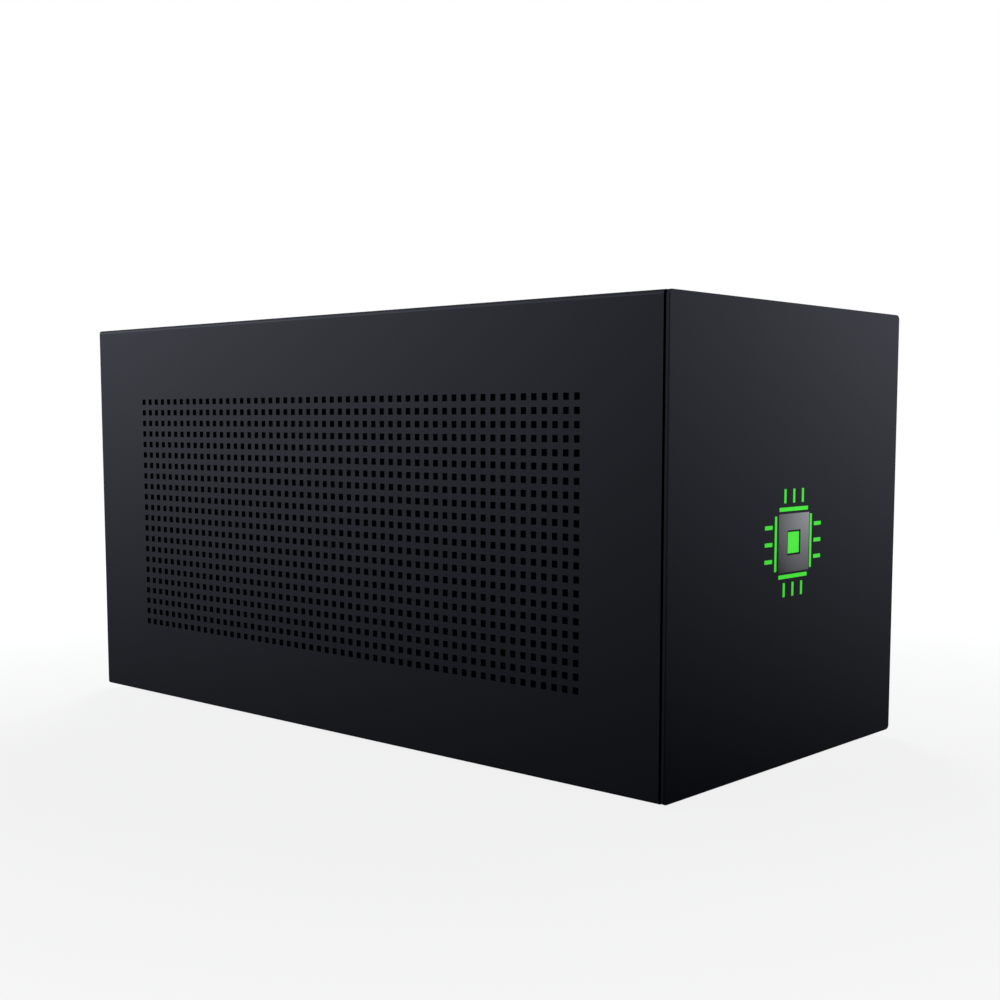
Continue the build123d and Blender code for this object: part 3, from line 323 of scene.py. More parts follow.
def track_group():
    """Circuit board: irregular cells, each with parallel tracks in a direction of its own, or with none.
    A track is where |fract(place / pitch) - 0.5| is under its half width. Roughness = 0.42 - 0.12 * track."""
    tree, given, result = texture_group("tracks", TRACK_INPUTS)
    cells = add_node(tree, "TexVoronoi", {"Vector": given["Vector"], "Scale": 1 / TRACK_CELL},
                     voronoi_dimensions="2D", distance="CHEBYCHEV")
    chance = add_node(tree, "SeparateColor", {0: cells.outputs["Color"]}).outputs
    place = add_node(tree, "SeparateXYZ", {0: given["Vector"]}).outputs
    turn = math_node(tree, "GREATER_THAN", chance[0], TRACK_TURNED)
    laid = math_node(tree, "GREATER_THAN", chance[1], TRACK_FREE)
    from_x = math_node(tree, "MULTIPLY", place["X"], turn)
    from_y = math_node(tree, "MULTIPLY", place["Y"], math_node(tree, "SUBTRACT", 1.0, turn))
    steps = math_node(tree, "DIVIDE", math_node(tree, "ADD", from_x, from_y), TRACK_PITCH)
    offset = math_node(tree, "SUBTRACT", math_node(tree, "FRACT", steps), 0.5)
    inside = math_node(tree, "LESS_THAN", math_node(tree, "ABSOLUTE", offset), TRACK_HALF)
    track = math_node(tree, "MULTIPLY", inside, laid)
    colour = colour_mix(tree, track, given["Color"], given["Track Color"])
    gloss = math_node(tree, "MULTIPLY_ADD", track, -0.12, 0.42)
    feed(tree, result, {"Color": colour, "Roughness": gloss, "Height": track})
    return tree


mask_values = {"Color": (0.010, 0.045, 0.028, 1), "Track Color": (0.020, 0.090, 0.050, 1)}
solder_mask = finish("solder_mask", track_group(), mask_values, bump=0.3, depth=0.05 * MM,
                     sockets={"Coat Weight": 0.15})
moulded = coat("moulded_black", (0.020, 0.020, 0.022), roughness=0.48, scale=3000.0, variation=0.06,
               spread=0.1, bump=0.3, depth=0.03 * MM)
sink_metal = metal("sink_metal", (0.66, 0.67, 0.69), roughness=0.35, stretch=(1, 0.02, 1))
dress(solder_mask, "interface_board", "light_board", "supply_board")
dress(moulded, "card_socket", "socket_latch", "controller_chip", "power_socket", "harness_plug")
dress(sink_metal, "controller_heatsink")
dress(zinc_plate, "board_standoffs", "host_port")


def tube_faces(rows, sides):
    """Faces of rings joined in order, with flat ends. They look outwards where the rings run on along +Z."""
    ring = np.arange(sides)
    return [grid_quads(rows, sides, True), np.stack([ring[::-1], ring + sides * (rows - 1)])]


def spun(reach, level, sides, axis):
    """A profile spun about an axis, with flat ends: at angle u, a point of reach r and level h lies at
    (r * cos(u), r * sin(u), h) before it is turned to the axis. A reach may change with the angle."""
    rows = len(level)
    angle = np.linspace(0, 2 * np.pi, sides, endpoint=False)
    reach = np.reshape(reach, (rows, -1))
    level = np.broadcast_to(np.reshape(level, (rows, 1)), (rows, sides))
    points = np.stack([reach * np.cos(angle), reach * np.sin(angle), level], -1)
    return turned(points, axis).reshape(-1, 3), tube_faces(rows, sides)


def blocks(places, sizes, bevel, axis="z"):
    """Moulded blocks with a bevelled top, standing on their places along the axis. Each has three rings of
    four corners: the foot, the shoulder one bevel below the top, and the top drawn in by the bevel."""
    places = np.asarray(places, float).reshape(-1, 1, 3)
    sizes = np.asarray(sizes, float).reshape(-1, 1, 3)
    corners = np.tile(np.array([[-1, -1], [1, -1], [1, 1], [-1, 1]]) / 2, (3, 1))
    shoulder, top = np.repeat(np.eye(3), 4, axis=1)[1:]
    level = (shoulder + top) * sizes[..., 2] - shoulder * bevel
    flat = corners * (sizes[..., :2] - 2 * bevel * top[:, None])
    points = places + turned(np.concatenate([flat, level[..., None]], -1), axis)
    return points.reshape(-1, 3), repeated(tube_faces(3, 4), len(corners), len(places))


def lattice(x, y, z):
    """Places at every combination of the given coordinates."""
    return np.stack(np.meshgrid(x, y, z, indexing="ij"), -1).reshape(-1, 3)


socket_low, socket_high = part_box("card_socket")
board_top = socket_low.z


def on_board(spots):
    """Places on the board's top face, from their x and y."""
    return np.concatenate([spots, np.full((len(spots), 1), board_top)], 1)


# The lead headers cover the standoff at the board's front right, so it has no head.
headers_left, headers_rear = 0.0, -20 * MM
board_screws = node_heads("board_standoffs", "z")
covered = (board_screws[:, 0] >= headers_left) & (board_screws[:, 1] <= headers_rear)
board_screws = on_board(board_screws[~covered, :2])
heads("board_screw_heads", (2.9 * MM, 1.9 * MM), "z", board_screws)


def can(radius, height):
    """Aluminium capacitor can: a spun profile with a waist above its foot and a rounded top edge."""
    reach = np.array([1.0, 1.0, 0.86, 0.86, 1.0, 1.0, 0.93, 0.80]) * radius
    level = np.array([0.0, 0.10, 0.16, 0.22, 0.28, 0.94, 0.985, 1.0]) * height
    return spun(reach, level, sides=40, axis="z")


can_spots = [(-73, 44), (-73, 54), (-63, 44), (-27, -20), (-37, -20), (-73, 150), (-63, 150)]
can_places = on_board(np.array(can_spots) * MM)
skin("board_cans", *copies(*can(radius=3.9 * MM, height=7.5 * MM), can_places), sink_metal, "chassis",
     "heatsink_metal", (), CREASE)

# Small parts keep clear of screws, cans, heat sink and port, and leave slanted bands free for the tracks.
part_tries, part_area = 300, ((-76, -16), (-30, 174))
clear_radius, clear_margin, band_step = 7.5 * MM, 4 * MM, 5 * MM
scatter = np.random.default_rng(11)
spots = np.stack([scatter.uniform(*edges, part_tries) for edges in part_area], 1) * MM
taken = np.concatenate([board_screws, can_places])[:, :2]
keep = (np.linalg.norm(spots[:, None] - taken, axis=2) > clear_radius).all(1)
for node in ("controller_heatsink", "host_port"):
    node_low, node_high = np.array(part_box(node))[:, :2]
    keep &= ~((spots > node_low - clear_margin) & (spots < node_high + clear_margin)).all(1)
spots = spots[keep]
band = np.round(spots / band_step).astype(int) @ [1, 3] % 4
spots = spots[band != 0]
part_kinds = [[1.0, 0.5, 0.5], [1.6, 0.8, 0.8], [3.2, 1.6, 1.1], [5.0, 4.0, 1.2]]
part_sizes = scatter.choice(part_kinds, len(spots), p=[0.4, 0.35, 0.15, 0.1]) * MM
part_sizes = np.where(scatter.random(len(spots))[:, None] < 0.5, part_sizes, part_sizes[:, [1, 0, 2]])
skin("board_parts", *blocks(on_board(spots), part_sizes, bevel=0.12 * MM), moulded, "chassis",
     "plastic_black")

# A header covers its CAD block by 0.15 mm all round.
header_places = on_board(np.array([(5.5, -26.8), (50.5, -26.8)]) * MM)
header_size = np.array([6.3, 10.3, 11.15]) * MM
skin("lead_headers", *blocks(header_places, header_size, bevel=0.6 * MM), moulded, "chassis", "plastic_black")

contact_gold = metal("contact_gold", (0.85, 0.60, 0.25), roughness=0.25, stretch=(1, 1, 0.2))
contact_size = np.array([0.3, 0.5, 7.6]) * MM
contact_pitch, contact_offset, contact_depth = 1.0 * MM, 0.72 * MM, 8.4 * MM
front_margin, rear_margin = 12.5 * MM, 3.4 * MM
contact_x = (socket_low.x + socket_high.x) / 2 + np.array([-contact_offset, contact_offset])
contact_y = np.arange(socket_low.y + front_margin, socket_high.y - rear_margin, contact_pitch)
contact_places = lattice(contact_x, contact_y, socket_high.z - contact_depth)
skin("socket_contacts", *blocks(contact_places, contact_size, bevel=0.1 * MM), contact_gold, "chassis",
     "bright_steel")

# Case fan: a 120 mm axial fan on two posts, blowing out through the perforated side.
# Frame and rotor are moulded plastic. The rotor's seven blades twist and thin out towards their tips.
# The CAD frame stays, both fans' blades get their true twist here, and the fan's screws their heads.
HUB, TIP, FAN_DEPTH = 20 * MM, 54.5 * MM, 20 * MM
BLADES, SPANS, CHORDS = 7, 15, 17
rotor_plastic = coat("rotor_plastic", (0.026, 0.026, 0.029), roughness=0.42, scale=2600.0, variation=0.05,
                     spread=0.08, bump=0.2, depth=0.03 * MM)


def fan_hub():
    """Hub about X: a profile with its nose rounded by a quarter circle, spun, with flat ends."""
    nose, lip = 3 * MM, 1.5 * MM
    bend = np.linspace(0, np.pi / 2, 7)
    reach = np.concatenate([HUB - nose + nose * np.sin(bend), [HUB, HUB - lip]])
    along = np.concatenate([nose - nose * np.cos(bend), [FAN_DEPTH, FAN_DEPTH]]) - FAN_DEPTH / 2
    return spun(reach, along, sides=72, axis="x")


def fan_blades():
    """Blades about X. At span share s the pitch is 46 - 18 * s degrees and the chord 26 + 5 * sin(pi * s) mm.
    At chord share c from -1 to 1 a point has camber 0.1 * chord * (1 - c ** 2) and half thickness
    (0.9 - 0.35 * s) * sqrt(1.02 - c ** 2) mm, and lies at its arc length over its radius, swept by
    0.25 * s."""
    span = np.linspace(0, 1, SPANS)[:, None]
    share = np.concatenate([np.linspace(-1, 1, CHORDS), np.linspace(1, -1, CHORDS)])
    side = np.repeat([1, -1], CHORDS)
    root, end_gap = HUB - 1 * MM, 0.4 * MM
    radius = root + span * (TIP - root)
    pitch = np.radians(46 - 18 * span)
    chord = (26 + 5 * np.sin(np.pi * span)) * MM
    across = share * chord / 2
    thickness = (0.9 - 0.35 * span) * MM * np.sqrt(np.clip(1.02 - share ** 2, 0.02, 1))
    normal = 0.1 * chord * (1 - share ** 2) + side * thickness
    room = FAN_DEPTH / 2 - end_gap
    axial = np.clip(across * np.sin(pitch) - normal * np.cos(pitch), -room, room)
    arc = (across * np.cos(pitch) + normal * np.sin(pitch)) / radius + 0.25 * span
    arc = arc + np.arange(BLADES)[:, None, None] * 2 * np.pi / BLADES
    points = np.stack([np.broadcast_to(axial, arc.shape), radius * np.cos(arc), radius * np.sin(arc)], -1)
    around = 2 * CHORDS
    edge = np.arange(CHORDS)
    end = np.stack([edge[:-1], edge[1:], around - 1 - edge[1:], around - 1 - edge[:-1]], -1)
    faces = np.concatenate([grid_quads(SPANS, around, True), end[:, ::-1], end + around * (SPANS - 1)])
    return points.reshape(-1, 3), repeated([faces], SPANS * around, BLADES)


def fan_rotor(middle, outward):
    """Hub and blades about an axis along X through the middle, turned half round where outward is -1."""
    hub_points, hub_faces = fan_hub()
    blade_points, blade_faces = fan_blades()
    points = np.concatenate([hub_points, blade_points]) * [outward, 1, outward]
    return points + np.array(middle), hub_faces + [part + len(hub_points) for part in blade_faces]


def pivot_of(body):
    """Place of the joint that carries a body."""
    return next(joint for joint in frame["joints"] if joint["child"] == body)["pos_m"]


for name, outward in (("case_fan", 1), ("supply_fan", -1)):
    rotor_low, rotor_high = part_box(f"{name}_rotor")
    back = rotor_low.x if outward > 0 else rotor_high.x
    middle = (back + outward * FAN_DEPTH / 2, *pivot_of(name)[1:])
    skin(f"{name}_blades", *fan_rotor(middle, outward), rotor_plastic, name, "rotor_black", [f"{name}_rotor"],
         smooth=35)
dress(moulded, "case_fan_frame", "supply_fan_mount")
heads("fan_screw_heads", CASE_HEAD, "x", node_heads("case_fan_screws", "x"), ["case_fan_screws"])

# Leads and harness: round insulated wires side by side from the supply, the fan and the badge light.
# They run inside the casing from header to header, are held at both ends and bend freely in between.
# The CAD has each lead as one flat ribbon on the same route, and the wires stand for it.
WIRE_SIDES = 16


def route(corners):
    """Points along a smooth lead: a NURBS spline of order 3, with the route's corners in mm to control it."""
    curve = bpy.data.curves.new("route", "CURVE")
    curve.dimensions = "3D"
    spline = curve.splines.new("NURBS")
    spline.points.add(len(corners) - 1)
    spline.points.foreach_set("co", np.pad(corners, ((0, 0), (0, 1)), constant_values=1.0).ravel())
    spline.order_u = 3
    spline.use_endpoint_u = True
    spline.resolution_u = 14
    holder = bpy.data.objects.new("route", curve)
    mesh = bpy.data.meshes.new_from_object(holder)
    line = read(mesh.vertices, "co").astype(float) * MM
    bpy.data.objects.remove(holder)
    bpy.data.meshes.remove(mesh)
    bpy.data.curves.remove(curve)
    return line


def wires(corners, across, count, pitch, radius, stray):
    """Round wires on one route. With p and t a point and direction of the route, and a the direction across,
    wire k at angle u is p + (k * pitch + r * cos(u)) * a + (bow of k + r * sin(u)) * (a x t), where the bow
    is a stray of its own times sin(pi * share of the way) ** 2."""
    line = route(corners)
    ahead = np.gradient(line, axis=0)
    ahead /= np.linalg.norm(ahead, axis=1)[:, None]
    across = np.array(across, float)
    lift = np.cross(across, ahead)
    angle = np.linspace(0, 2 * np.pi, WIRE_SIDES, endpoint=False)
    place = (np.arange(count) - (count - 1) / 2) * pitch
    bow = np.random.default_rng(5).uniform(-stray, stray, count)[:, None]
    bow = bow * np.sin(np.pi * np.linspace(0, 1, len(line))) ** 2
    sideways = (place[:, None] + radius * np.cos(angle))[:, None, :, None] * across
    upward = (bow[..., None] + radius * np.sin(angle))[..., None] * lift[None, :, None]
    points = (line[None, :, None] + sideways + upward).reshape(-1, 3)
    faces = [part[:, ::-1] for part in tube_faces(len(line), WIRE_SIDES)]
    return points, repeated(faces, len(line) * WIRE_SIDES, count)


wire_rubber = coat("wire_rubber", (0.020, 0.020, 0.021), roughness=0.45, scale=2400.0, variation=0.1,
                   spread=0.15, bump=0.3, depth=0.04 * MM, Specular_IOR_Level=0.35)
thin_wires = {"count": 3, "pitch": 1.33 * MM, "radius": 0.6 * MM}
harness_route = ((28.0, 37.7, 81.7), (28.0, -0.8, 81.7), (28.0, -0.8, 30.5))
harness = wires(harness_route, (1, 0, 0), count=12, pitch=3.66 * MM, radius=1.75 * MM, stray=1.4 * MM)
skin("harness_wires", *harness, wire_rubber, "chassis", "cable_black", ["supply_harness"], CREASE)
fan_route = ((65.5, -26.8, 39.25), (65.5, -26.8, 19.8), (53.5, -26.8, 19.8))
fan_lead = wires(fan_route, (0, 1, 0), stray=0.3 * MM, **thin_wires)
skin("fan_wires", *fan_lead, wire_rubber, "chassis", "cable_black", ["fan_lead"], CREASE)
light_route = ((5.5, -182.4, 68.0), (5.5, -182.4, 6.3), (5.5, -120.7, 6.3), (5.5, -74.3, 6.3),
               (5.5, -44.3, 19.8), (5.5, -31.8, 19.8))
light_lead = wires(light_route, (1, 0, 0), stray=0.0, **thin_wires)
skin("light_wires", *light_lead, wire_rubber, "chassis", "cable_black", ["light_lead"], CREASE)

# Power supply: a steel box on a folded cradle, with a honeycomb vent, mains inlet and rocker switch behind.
# Tray and cover are coated matte black, and inlet, bezel and rocker are moulded.
# Here the box gets its low side screws, the inlet its plated pins, and the rocker the marks of its two ends.
supply_coat = coat("supply_coat", (0.013, 0.013, 0.014), roughness=0.6, scale=1100.0, bump=0.35,
                   depth=0.06 * MM, Specular_IOR_Level=0.3)
dress(supply_coat, "supply_cradle", "supply_tray", "supply_cover")
dress(moulded, "mains_inlet", "switch_bezel", "mains_switch", "supply_sockets")
heads("supply_screw_heads", CASE_HEAD, "y", node_heads("supply_screws", "y"), ["supply_screws"])

supply_low, supply_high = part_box("supply_cover")
side_inset = 7 * MM
side_places = lattice(supply_low.x, (supply_low.y + side_inset, supply_high.y - side_inset),
                      (supply_low.z + side_inset, supply_high.z - side_inset))
heads("supply_side_screws", (3.0 * MM, 0.9 * MM), "-x", side_places)

inlet_low, inlet_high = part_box("mains_inlet")
inlet_x, inlet_z = (inlet_low.x + inlet_high.x) / 2, (inlet_low.z + inlet_high.z) / 2
pin_size = np.array([2.2, 4.2, 11.1]) * MM
pin_shift, pin_spread, pin_foot = 2 * MM, 7 * MM, inlet_high.y - 16 * MM
pin_places = [(inlet_x + pin_shift, pin_foot, inlet_z), (inlet_x - pin_shift, pin_foot, inlet_z + pin_spread),
              (inlet_x - pin_shift, pin_foot, inlet_z - pin_spread)]
skin("inlet_pins", *blocks(pin_places, pin_size, bevel=0.5 * MM, axis="y"), zinc_plate, "chassis",
     "bright_steel")

MARK_SIDES = 48
mark_foot, mark_top = -0.05, 0.12
mark_white = coat("mark_white", (0.62, 0.62, 0.60), roughness=0.5, scale=2500.0, variation=0.05, spread=0.1,
                  bump=0.2, depth=0.02 * MM)


def rocker_face(side):
    """Middle and unit normal of the rocker's outer face above or below its axis, each a mean by area."""
    rocker = frame["nodes"]["mains_switch"].data.polygons
    centres, normals = read(rocker, "center"), read(rocker, "normal")
    found = (normals[:, 1] > 0.9) & ((centres[:, 2] - pivot_of("switch")[2]) * side > 0)
    areas = read(rocker, "area", 1)[found]
    middle, normal = (np.sum(part[found] * areas, axis=0) / areas.sum() for part in (centres, normals))
    return middle, normal / np.linalg.norm(normal)


def raised_rims(side, reach, lift, squash):
    """Rims about the middle of one of the rocker's faces, each at its reach in mm and at its lift along the
    face's normal. Squash is the rims' width across X as a share of their height."""
    middle, normal = rocker_face(side)
    angle = np.linspace(0, 2 * np.pi, MARK_SIDES, endpoint=False)
    reach, lift = np.array(reach)[:, None] * MM, np.array(lift)[:, None] * MM
    sideways = np.array([1.0, 0, 0])
    upward = np.cross(normal, sideways)
    points = (middle + (squash * reach * np.cos(angle))[..., None] * sideways
              + (reach * np.sin(angle))[..., None] * upward + lift[..., None] * normal)
    return points.reshape(-1, 3)


def loop_quads(rows, sides):
    """Quads of a ring-shaped body: rings joined in order, and the last one to the first."""
    return grid_quads(rows + 1, sides, True) % (rows * sides)


ring_points = raised_rims(-1, (1.6, 1.6, 1.1, 1.1), (mark_foot, mark_top, mark_top, mark_foot), squash=1.0)
ring_faces = [loop_quads(4, MARK_SIDES)]
skin("rocker_ring", ring_points, ring_faces, mark_white, "switch", "plastic_black", (), CREASE)
bar_points = raised_rims(1, (1.6, 1.6), (mark_foot, mark_top), squash=0.18)
skin("rocker_bar", bar_points, tube_faces(2, MARK_SIDES), mark_white, "switch", "plastic_black", (), CREASE)

# Badge light: a green light guide shows through the front panel's cuts, lit by four lights on a small board.
# The guide is a clear moulding with ribs that fill the cuts flush. Its housing is black plastic.
# The CAD node carries every rib and glows most at its middle. A thin metal inlay with a painted sheen frames
# the figure's core.
FADE_INPUTS = {"Vector": "Vector", "Centre": "Vector", "Color": "Color", "Edge Color": "Color",
               "Reach": "Float", "Roughness": "Float"}
FROST_SCALE = 3000.0


def fade_group():
    """Colour at a centre that fades to the edge colour with the distance over the reach, and a fine frosting.
    Roughness = roughness + 0.2 * frosting."""
    tree, given, result = texture_group("fade", FADE_INPUTS)
    away = add_node(tree, "VectorMath", {0: given["Vector"], 1: given["Centre"]}, operation="DISTANCE")
    share = math_node(tree, "DIVIDE", away.outputs["Value"], given["Reach"])
    colour = colour_mix(tree, share, given["Color"], given["Edge Color"])
    frost = noise_node(tree, given["Vector"], FROST_SCALE)
    gloss = math_node(tree, "MULTIPLY_ADD", frost, 0.2, given["Roughness"])
    feed(tree, result, {"Color": colour, "Roughness": gloss, "Height": frost})
    return tree


FADE = fade_group()
guide_low, guide_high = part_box("badge_light_guide")
badge_middle = (guide_low + guide_high) / 2
guide_values = {"Color": (0.042, 0.56, 0.026, 1), "Edge Color": (0.028, 0.46, 0.017, 1),
                "Centre": badge_middle, "Reach": 26 * MM, "Roughness": 0.25}
light_guide = finish("light_guide", FADE, guide_values, bump=0.1, depth=0.02 * MM,
                     sockets={"Emission Strength": 0.9, "Specular IOR Level": 0.1})
guide_tree = light_guide.node_tree
feed(guide_tree, guide_tree.nodes["Principled BSDF"],
     {"Emission Color": guide_tree.nodes["texture"].outputs["Color"]})
dress(light_guide, "badge_light_guide")
dress(moulded, "light_housing")
housing_low, housing_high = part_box("light_housing")
housing_inset = 3.2 * MM
housing_places = lattice((housing_low.x + housing_inset, housing_high.x - housing_inset), housing_high.y,
                         (housing_low.z + housing_inset, housing_high.z - housing_inset))
heads("housing_screw_heads", (2.3 * MM, 1.5 * MM), "y", housing_places)


def framed_plate(half, window, back, thickness, bevel):
    """Square plate with a square window, facing -Y. Rings of four corners run from the plate's back edge over
    its bevelled front to the window's edge and back."""
    ring = np.array([[-1, -1], [1, -1], [1, 1], [-1, 1]], float)
    reach = np.array([half, half, half - bevel, window + bevel, window, window])
    level = back - np.array([0, thickness - bevel, thickness, thickness, thickness - bevel, 0])
    points = np.empty((6, 4, 3))
    points[..., 0] = reach[:, None] * ring[:, 0]
    points[..., 1] = level[:, None]
    points[..., 2] = reach[:, None] * ring[:, 1]
    return points.reshape(-1, 3), [loop_quads(6, 4)]


inlay_points, inlay_faces = framed_plate(half=12.2 * MM, window=5.2 * MM, back=guide_low.y,
                                         thickness=0.25 * MM, bevel=0.08 * MM)
# Painted sheen: the inlay is light grey at its upper right and fades to near black, as if lit from there.
inlay_sheen_values = {"Color": (0.200, 0.200, 0.212, 1), "Edge Color": (0.010, 0.010, 0.012, 1), "Reach": 34 * MM,
                "Centre": badge_middle + Vector((12 * MM, 0, 12 * MM)), "Roughness": 0.4}
inlay_metal = finish("inlay_metal", FADE, inlay_sheen_values, bump=0.1, depth=0.02 * MM, sockets={"Metallic": 1.0})
skin("badge_inlay", inlay_points + np.array([badge_middle.x, 0, badge_middle.z]), inlay_faces, inlay_metal,
     "chassis", "front_black")

# Front panel: a flat 1.5 mm steel plate with small corner rounds, and a shadow joint of about 1 mm behind it.
# It is powder coated in the same satin black as the cover.
# The CAD node has its chamfered edge and the badge's cuts, so it only gets its coat.
case_coat = coat("case_coat", (0.0345, 0.0354, 0.0410), roughness=0.5, scale=1500.0, variation=0.04,
                 spread=0.06, bump=0.10, depth=0.03 * MM, Specular_IOR_Level=0.004)
dress(case_coat, "front_panel")

# Perforated cover: one steel sheet folded over the top and both sides, with hems below and tabs behind.
# Its sides are punched with 54 by 22 square holes, more and smaller than the openings in the CAD.
# A painted highlight lightens the coat along the upper folds, and painted shade keeps the holes' walls and
# the front rim near black.
HOLE_ROWS, HOLE_COLUMNS = 22, 54
TAB_SIDES = 40
cover_low, cover_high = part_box("perforated_cover")
sheet, fold, hem = 1.2 * MM, 1.5 * MM, 12 * MM
hole_pitch, hole_width = 5.5 * MM, 2.85 * MM
edge_loop = 0.4 * MM
hem_count, loop_count, top_count = 3, 2, 3
tab_width, tab_half_height, tab_bore = 13.5 * MM, 5 * MM, 2.0 * MM


def punched_sheet(outer, inner, solid):
    """Points and quads of a sheet between two matched grids. Cells that aren't solid are open, and every
    border between a solid cell and an open one, or the grid's end, gets a wall across the thickness."""
    rows, columns = outer.shape[:2]
    index = np.arange(rows * columns).reshape(rows, columns)
    far = rows * columns
    cell = np.stack([index[:-1, :-1], index[1:, :-1], index[1:, 1:], index[:-1, 1:]], -1)[solid]
    ring = np.pad(solid, 1)
    quads = [cell, cell[:, ::-1] + far]
    first, second = index[:, :-1], index[:, 1:]
    wall = np.stack([first, second, second + far, first + far], -1)
    before, after = ring[:-1, 1:-1], ring[1:, 1:-1]
    quads += [wall[before & ~after][:, ::-1], wall[after & ~before]]
    first, second = index[:-1], index[1:]
    wall = np.stack([first, second, second + far, first + far], -1)
    before, after = ring[1:-1, :-1], ring[1:-1, 1:]
    quads += [wall[before & ~after], wall[after & ~before][:, ::-1]]
    return np.concatenate([outer.reshape(-1, 3), inner.reshape(-1, 3)]), quads


def hole_edges(middle, count):
    """Both edges of each hole in a row of holes about the middle."""
    centres = middle + (np.arange(count) - (count - 1) / 2) * hole_pitch
    return (centres[:, None] + np.array([-hole_width / 2, hole_width / 2])).ravel()


side_foot, side_top = cover_low.z + fold, cover_high.z - fold
rise = hole_edges((cover_low.z + cover_high.z) / 2, HOLE_ROWS)
run = hole_edges((cover_low.y + cover_high.y) / 2, HOLE_COLUMNS)
climb = np.concatenate([[side_foot, side_foot + edge_loop], rise, [side_top - edge_loop, side_top]])
depths = np.concatenate([[cover_low.y], run, [cover_high.y]])
bend = np.linspace(0, np.pi / 2, 7)[1:-1]


def cover_section(depth):
    """Half section of the sheet at a depth below its outer face, from the left hem's edge up to the top's
    middle: hem, quarter circle, side, quarter circle and top, all on offset lines. The other half mirrors
    it."""
    radius = fold - depth
    left = cover_low.x + fold
    under, over = cover_low.z + depth, cover_high.z - depth
    hem_line = np.array([[cover_low.x + hem, under], [left + edge_loop, under], [left, under]])
    lower = np.stack([left - radius * np.sin(bend), side_foot - radius * np.cos(bend)], 1)
    side = np.stack([np.full(len(climb), cover_low.x + depth), climb], 1)
    upper = np.stack([left - radius * np.cos(bend), side_top + radius * np.sin(bend)], 1)
    top = np.array([[left, over], [left + edge_loop, over], [0.0, over]])
    half = np.concatenate([hem_line, lower, side, upper, top])
    return np.concatenate([half, half[-2::-1] * [-1, 1]])


def carried(section):
    """A section carried along Y to every depth, as a grid of points."""
    grid = np.empty((len(section), len(depths), 3))
    grid[..., 0], grid[..., 2] = section[:, :1], section[:, 1:]
    grid[..., 1] = depths
    return grid


def painted_fold_highlight(peak, width):
    """Share of painted highlight at the sheet's points: 1 - |angle - peak| / width round the upper folds, 0
    elsewhere.
    The angle is 0 where the side ends and a right angle where the top begins."""
    sheen = np.clip(1 - abs(np.concatenate([[0.0], bend]) - peak) / width, 0, 1)
    below = np.zeros(hem_count + len(bend) + len(climb) - 1)
    half = np.concatenate([below, sheen, np.zeros(top_count)])
    return np.tile(np.repeat(np.concatenate([half, half[-2::-1]]), len(depths)), 2)


def tab_plate(x, z, sides):
    """Tab between two sides with a round hole at x and z: the hole's circle and the tab's rectangle joined
    ray by ray, front and back."""
    angle = np.linspace(0, 2 * np.pi, TAB_SIDES, endpoint=False) + np.pi / TAB_SIDES
    ray = np.stack([np.cos(angle), np.sin(angle)], 1)
    box = np.array([[sides[0] - x, sides[1] - x], [-tab_half_height, tab_half_height]])
    bound = np.where(ray > 0, box[:, 1], box[:, 0]) / ray
    rim = ray * bound.min(1)[:, None]
    bore = ray * tab_bore
    ring = np.stack([bore, bore, rim, rim])
    level = np.repeat(cover_high.y - np.array([sheet, 0, 0, sheet]), TAB_SIDES).reshape(4, TAB_SIDES)
    points = np.stack([ring[..., 0] + x, level, ring[..., 1] + z], -1)
    return points.reshape(-1, 3), loop_quads(4, TAB_SIDES)


outer, inner = carried(cover_section(0.0)), carried(cover_section(sheet))
solid = np.ones((outer.shape[0] - 1, len(depths) - 1), bool)
first_row = hem_count + len(bend) + loop_count
open_rows = first_row + 2 * np.arange(HOLE_ROWS)
open_columns = 1 + 2 * np.arange(HOLE_COLUMNS)
solid[np.ix_(open_rows, open_columns)] = False
solid[np.ix_(solid.shape[0] - 1 - open_rows, open_columns)] = False
cover_points, cover_quads = punched_sheet(outer, inner, solid)
wall_middles = cover_points[np.concatenate(cover_quads[2:])].mean(1)
walls_from, walls_to = 2 * len(cover_quads[0]), sum(len(part) for part in cover_quads)
cover_faces = list(cover_quads)
for number in (1, 2, 3, 4):
    tab_x, _, tab_z = pivot_of(f"cover_screw_{number}")
    wall = (cover_high.x - sheet) * np.sign(tab_x)
    tab_sides = sorted((wall, wall - np.sign(tab_x) * tab_width))
    tab_points, tab_quads = tab_plate(tab_x, tab_z, tab_sides)
    cover_faces.append(tab_quads + len(cover_points))
    cover_points = np.concatenate([cover_points, tab_points])

cover_coat = case_coat.copy()
cover_coat.name = "cover_coat"
cover_tree = cover_coat.node_tree
# Painted highlight: the 'fold' attribute mixes the base colour towards a lighter grey along the upper folds.
fold_highlight_share = add_node(cover_tree, "Attribute", attribute_name="fold").outputs["Fac"]
fold_highlight_colour = colour_mix(cover_tree, fold_highlight_share, cover_tree.nodes["texture"].outputs["Color"],
                         (0.070, 0.072, 0.083, 1))
feed(cover_tree, cover_tree.nodes["Principled BSDF"], {"Base Color": fold_highlight_colour})
cover = skin("punched_cover", cover_points, cover_faces, cover_coat, "cover", "cover_black",
             ["perforated_cover"], CREASE)
# Painted shade: the holes' walls and the front rim get a near-black coat where they lie in shadow, while the
# rear rim and hems keep the cover's coat.
cut_edge = coat("cut_edge", (0.0015, 0.0015, 0.0018), roughness=0.7, scale=1500.0, Specular_IOR_Level=0.004)
cover.data.materials.append(cut_edge)
face_looks = np.zeros(len(cover.data.polygons), np.int32)
not_rear, not_hem = wall_middles[:, 1] < cover_high.y - edge_loop, wall_middles[:, 2] > side_foot
face_looks[walls_from:walls_to] = not_rear & not_hem
cover.data.polygons.foreach_set("material_index", face_looks)
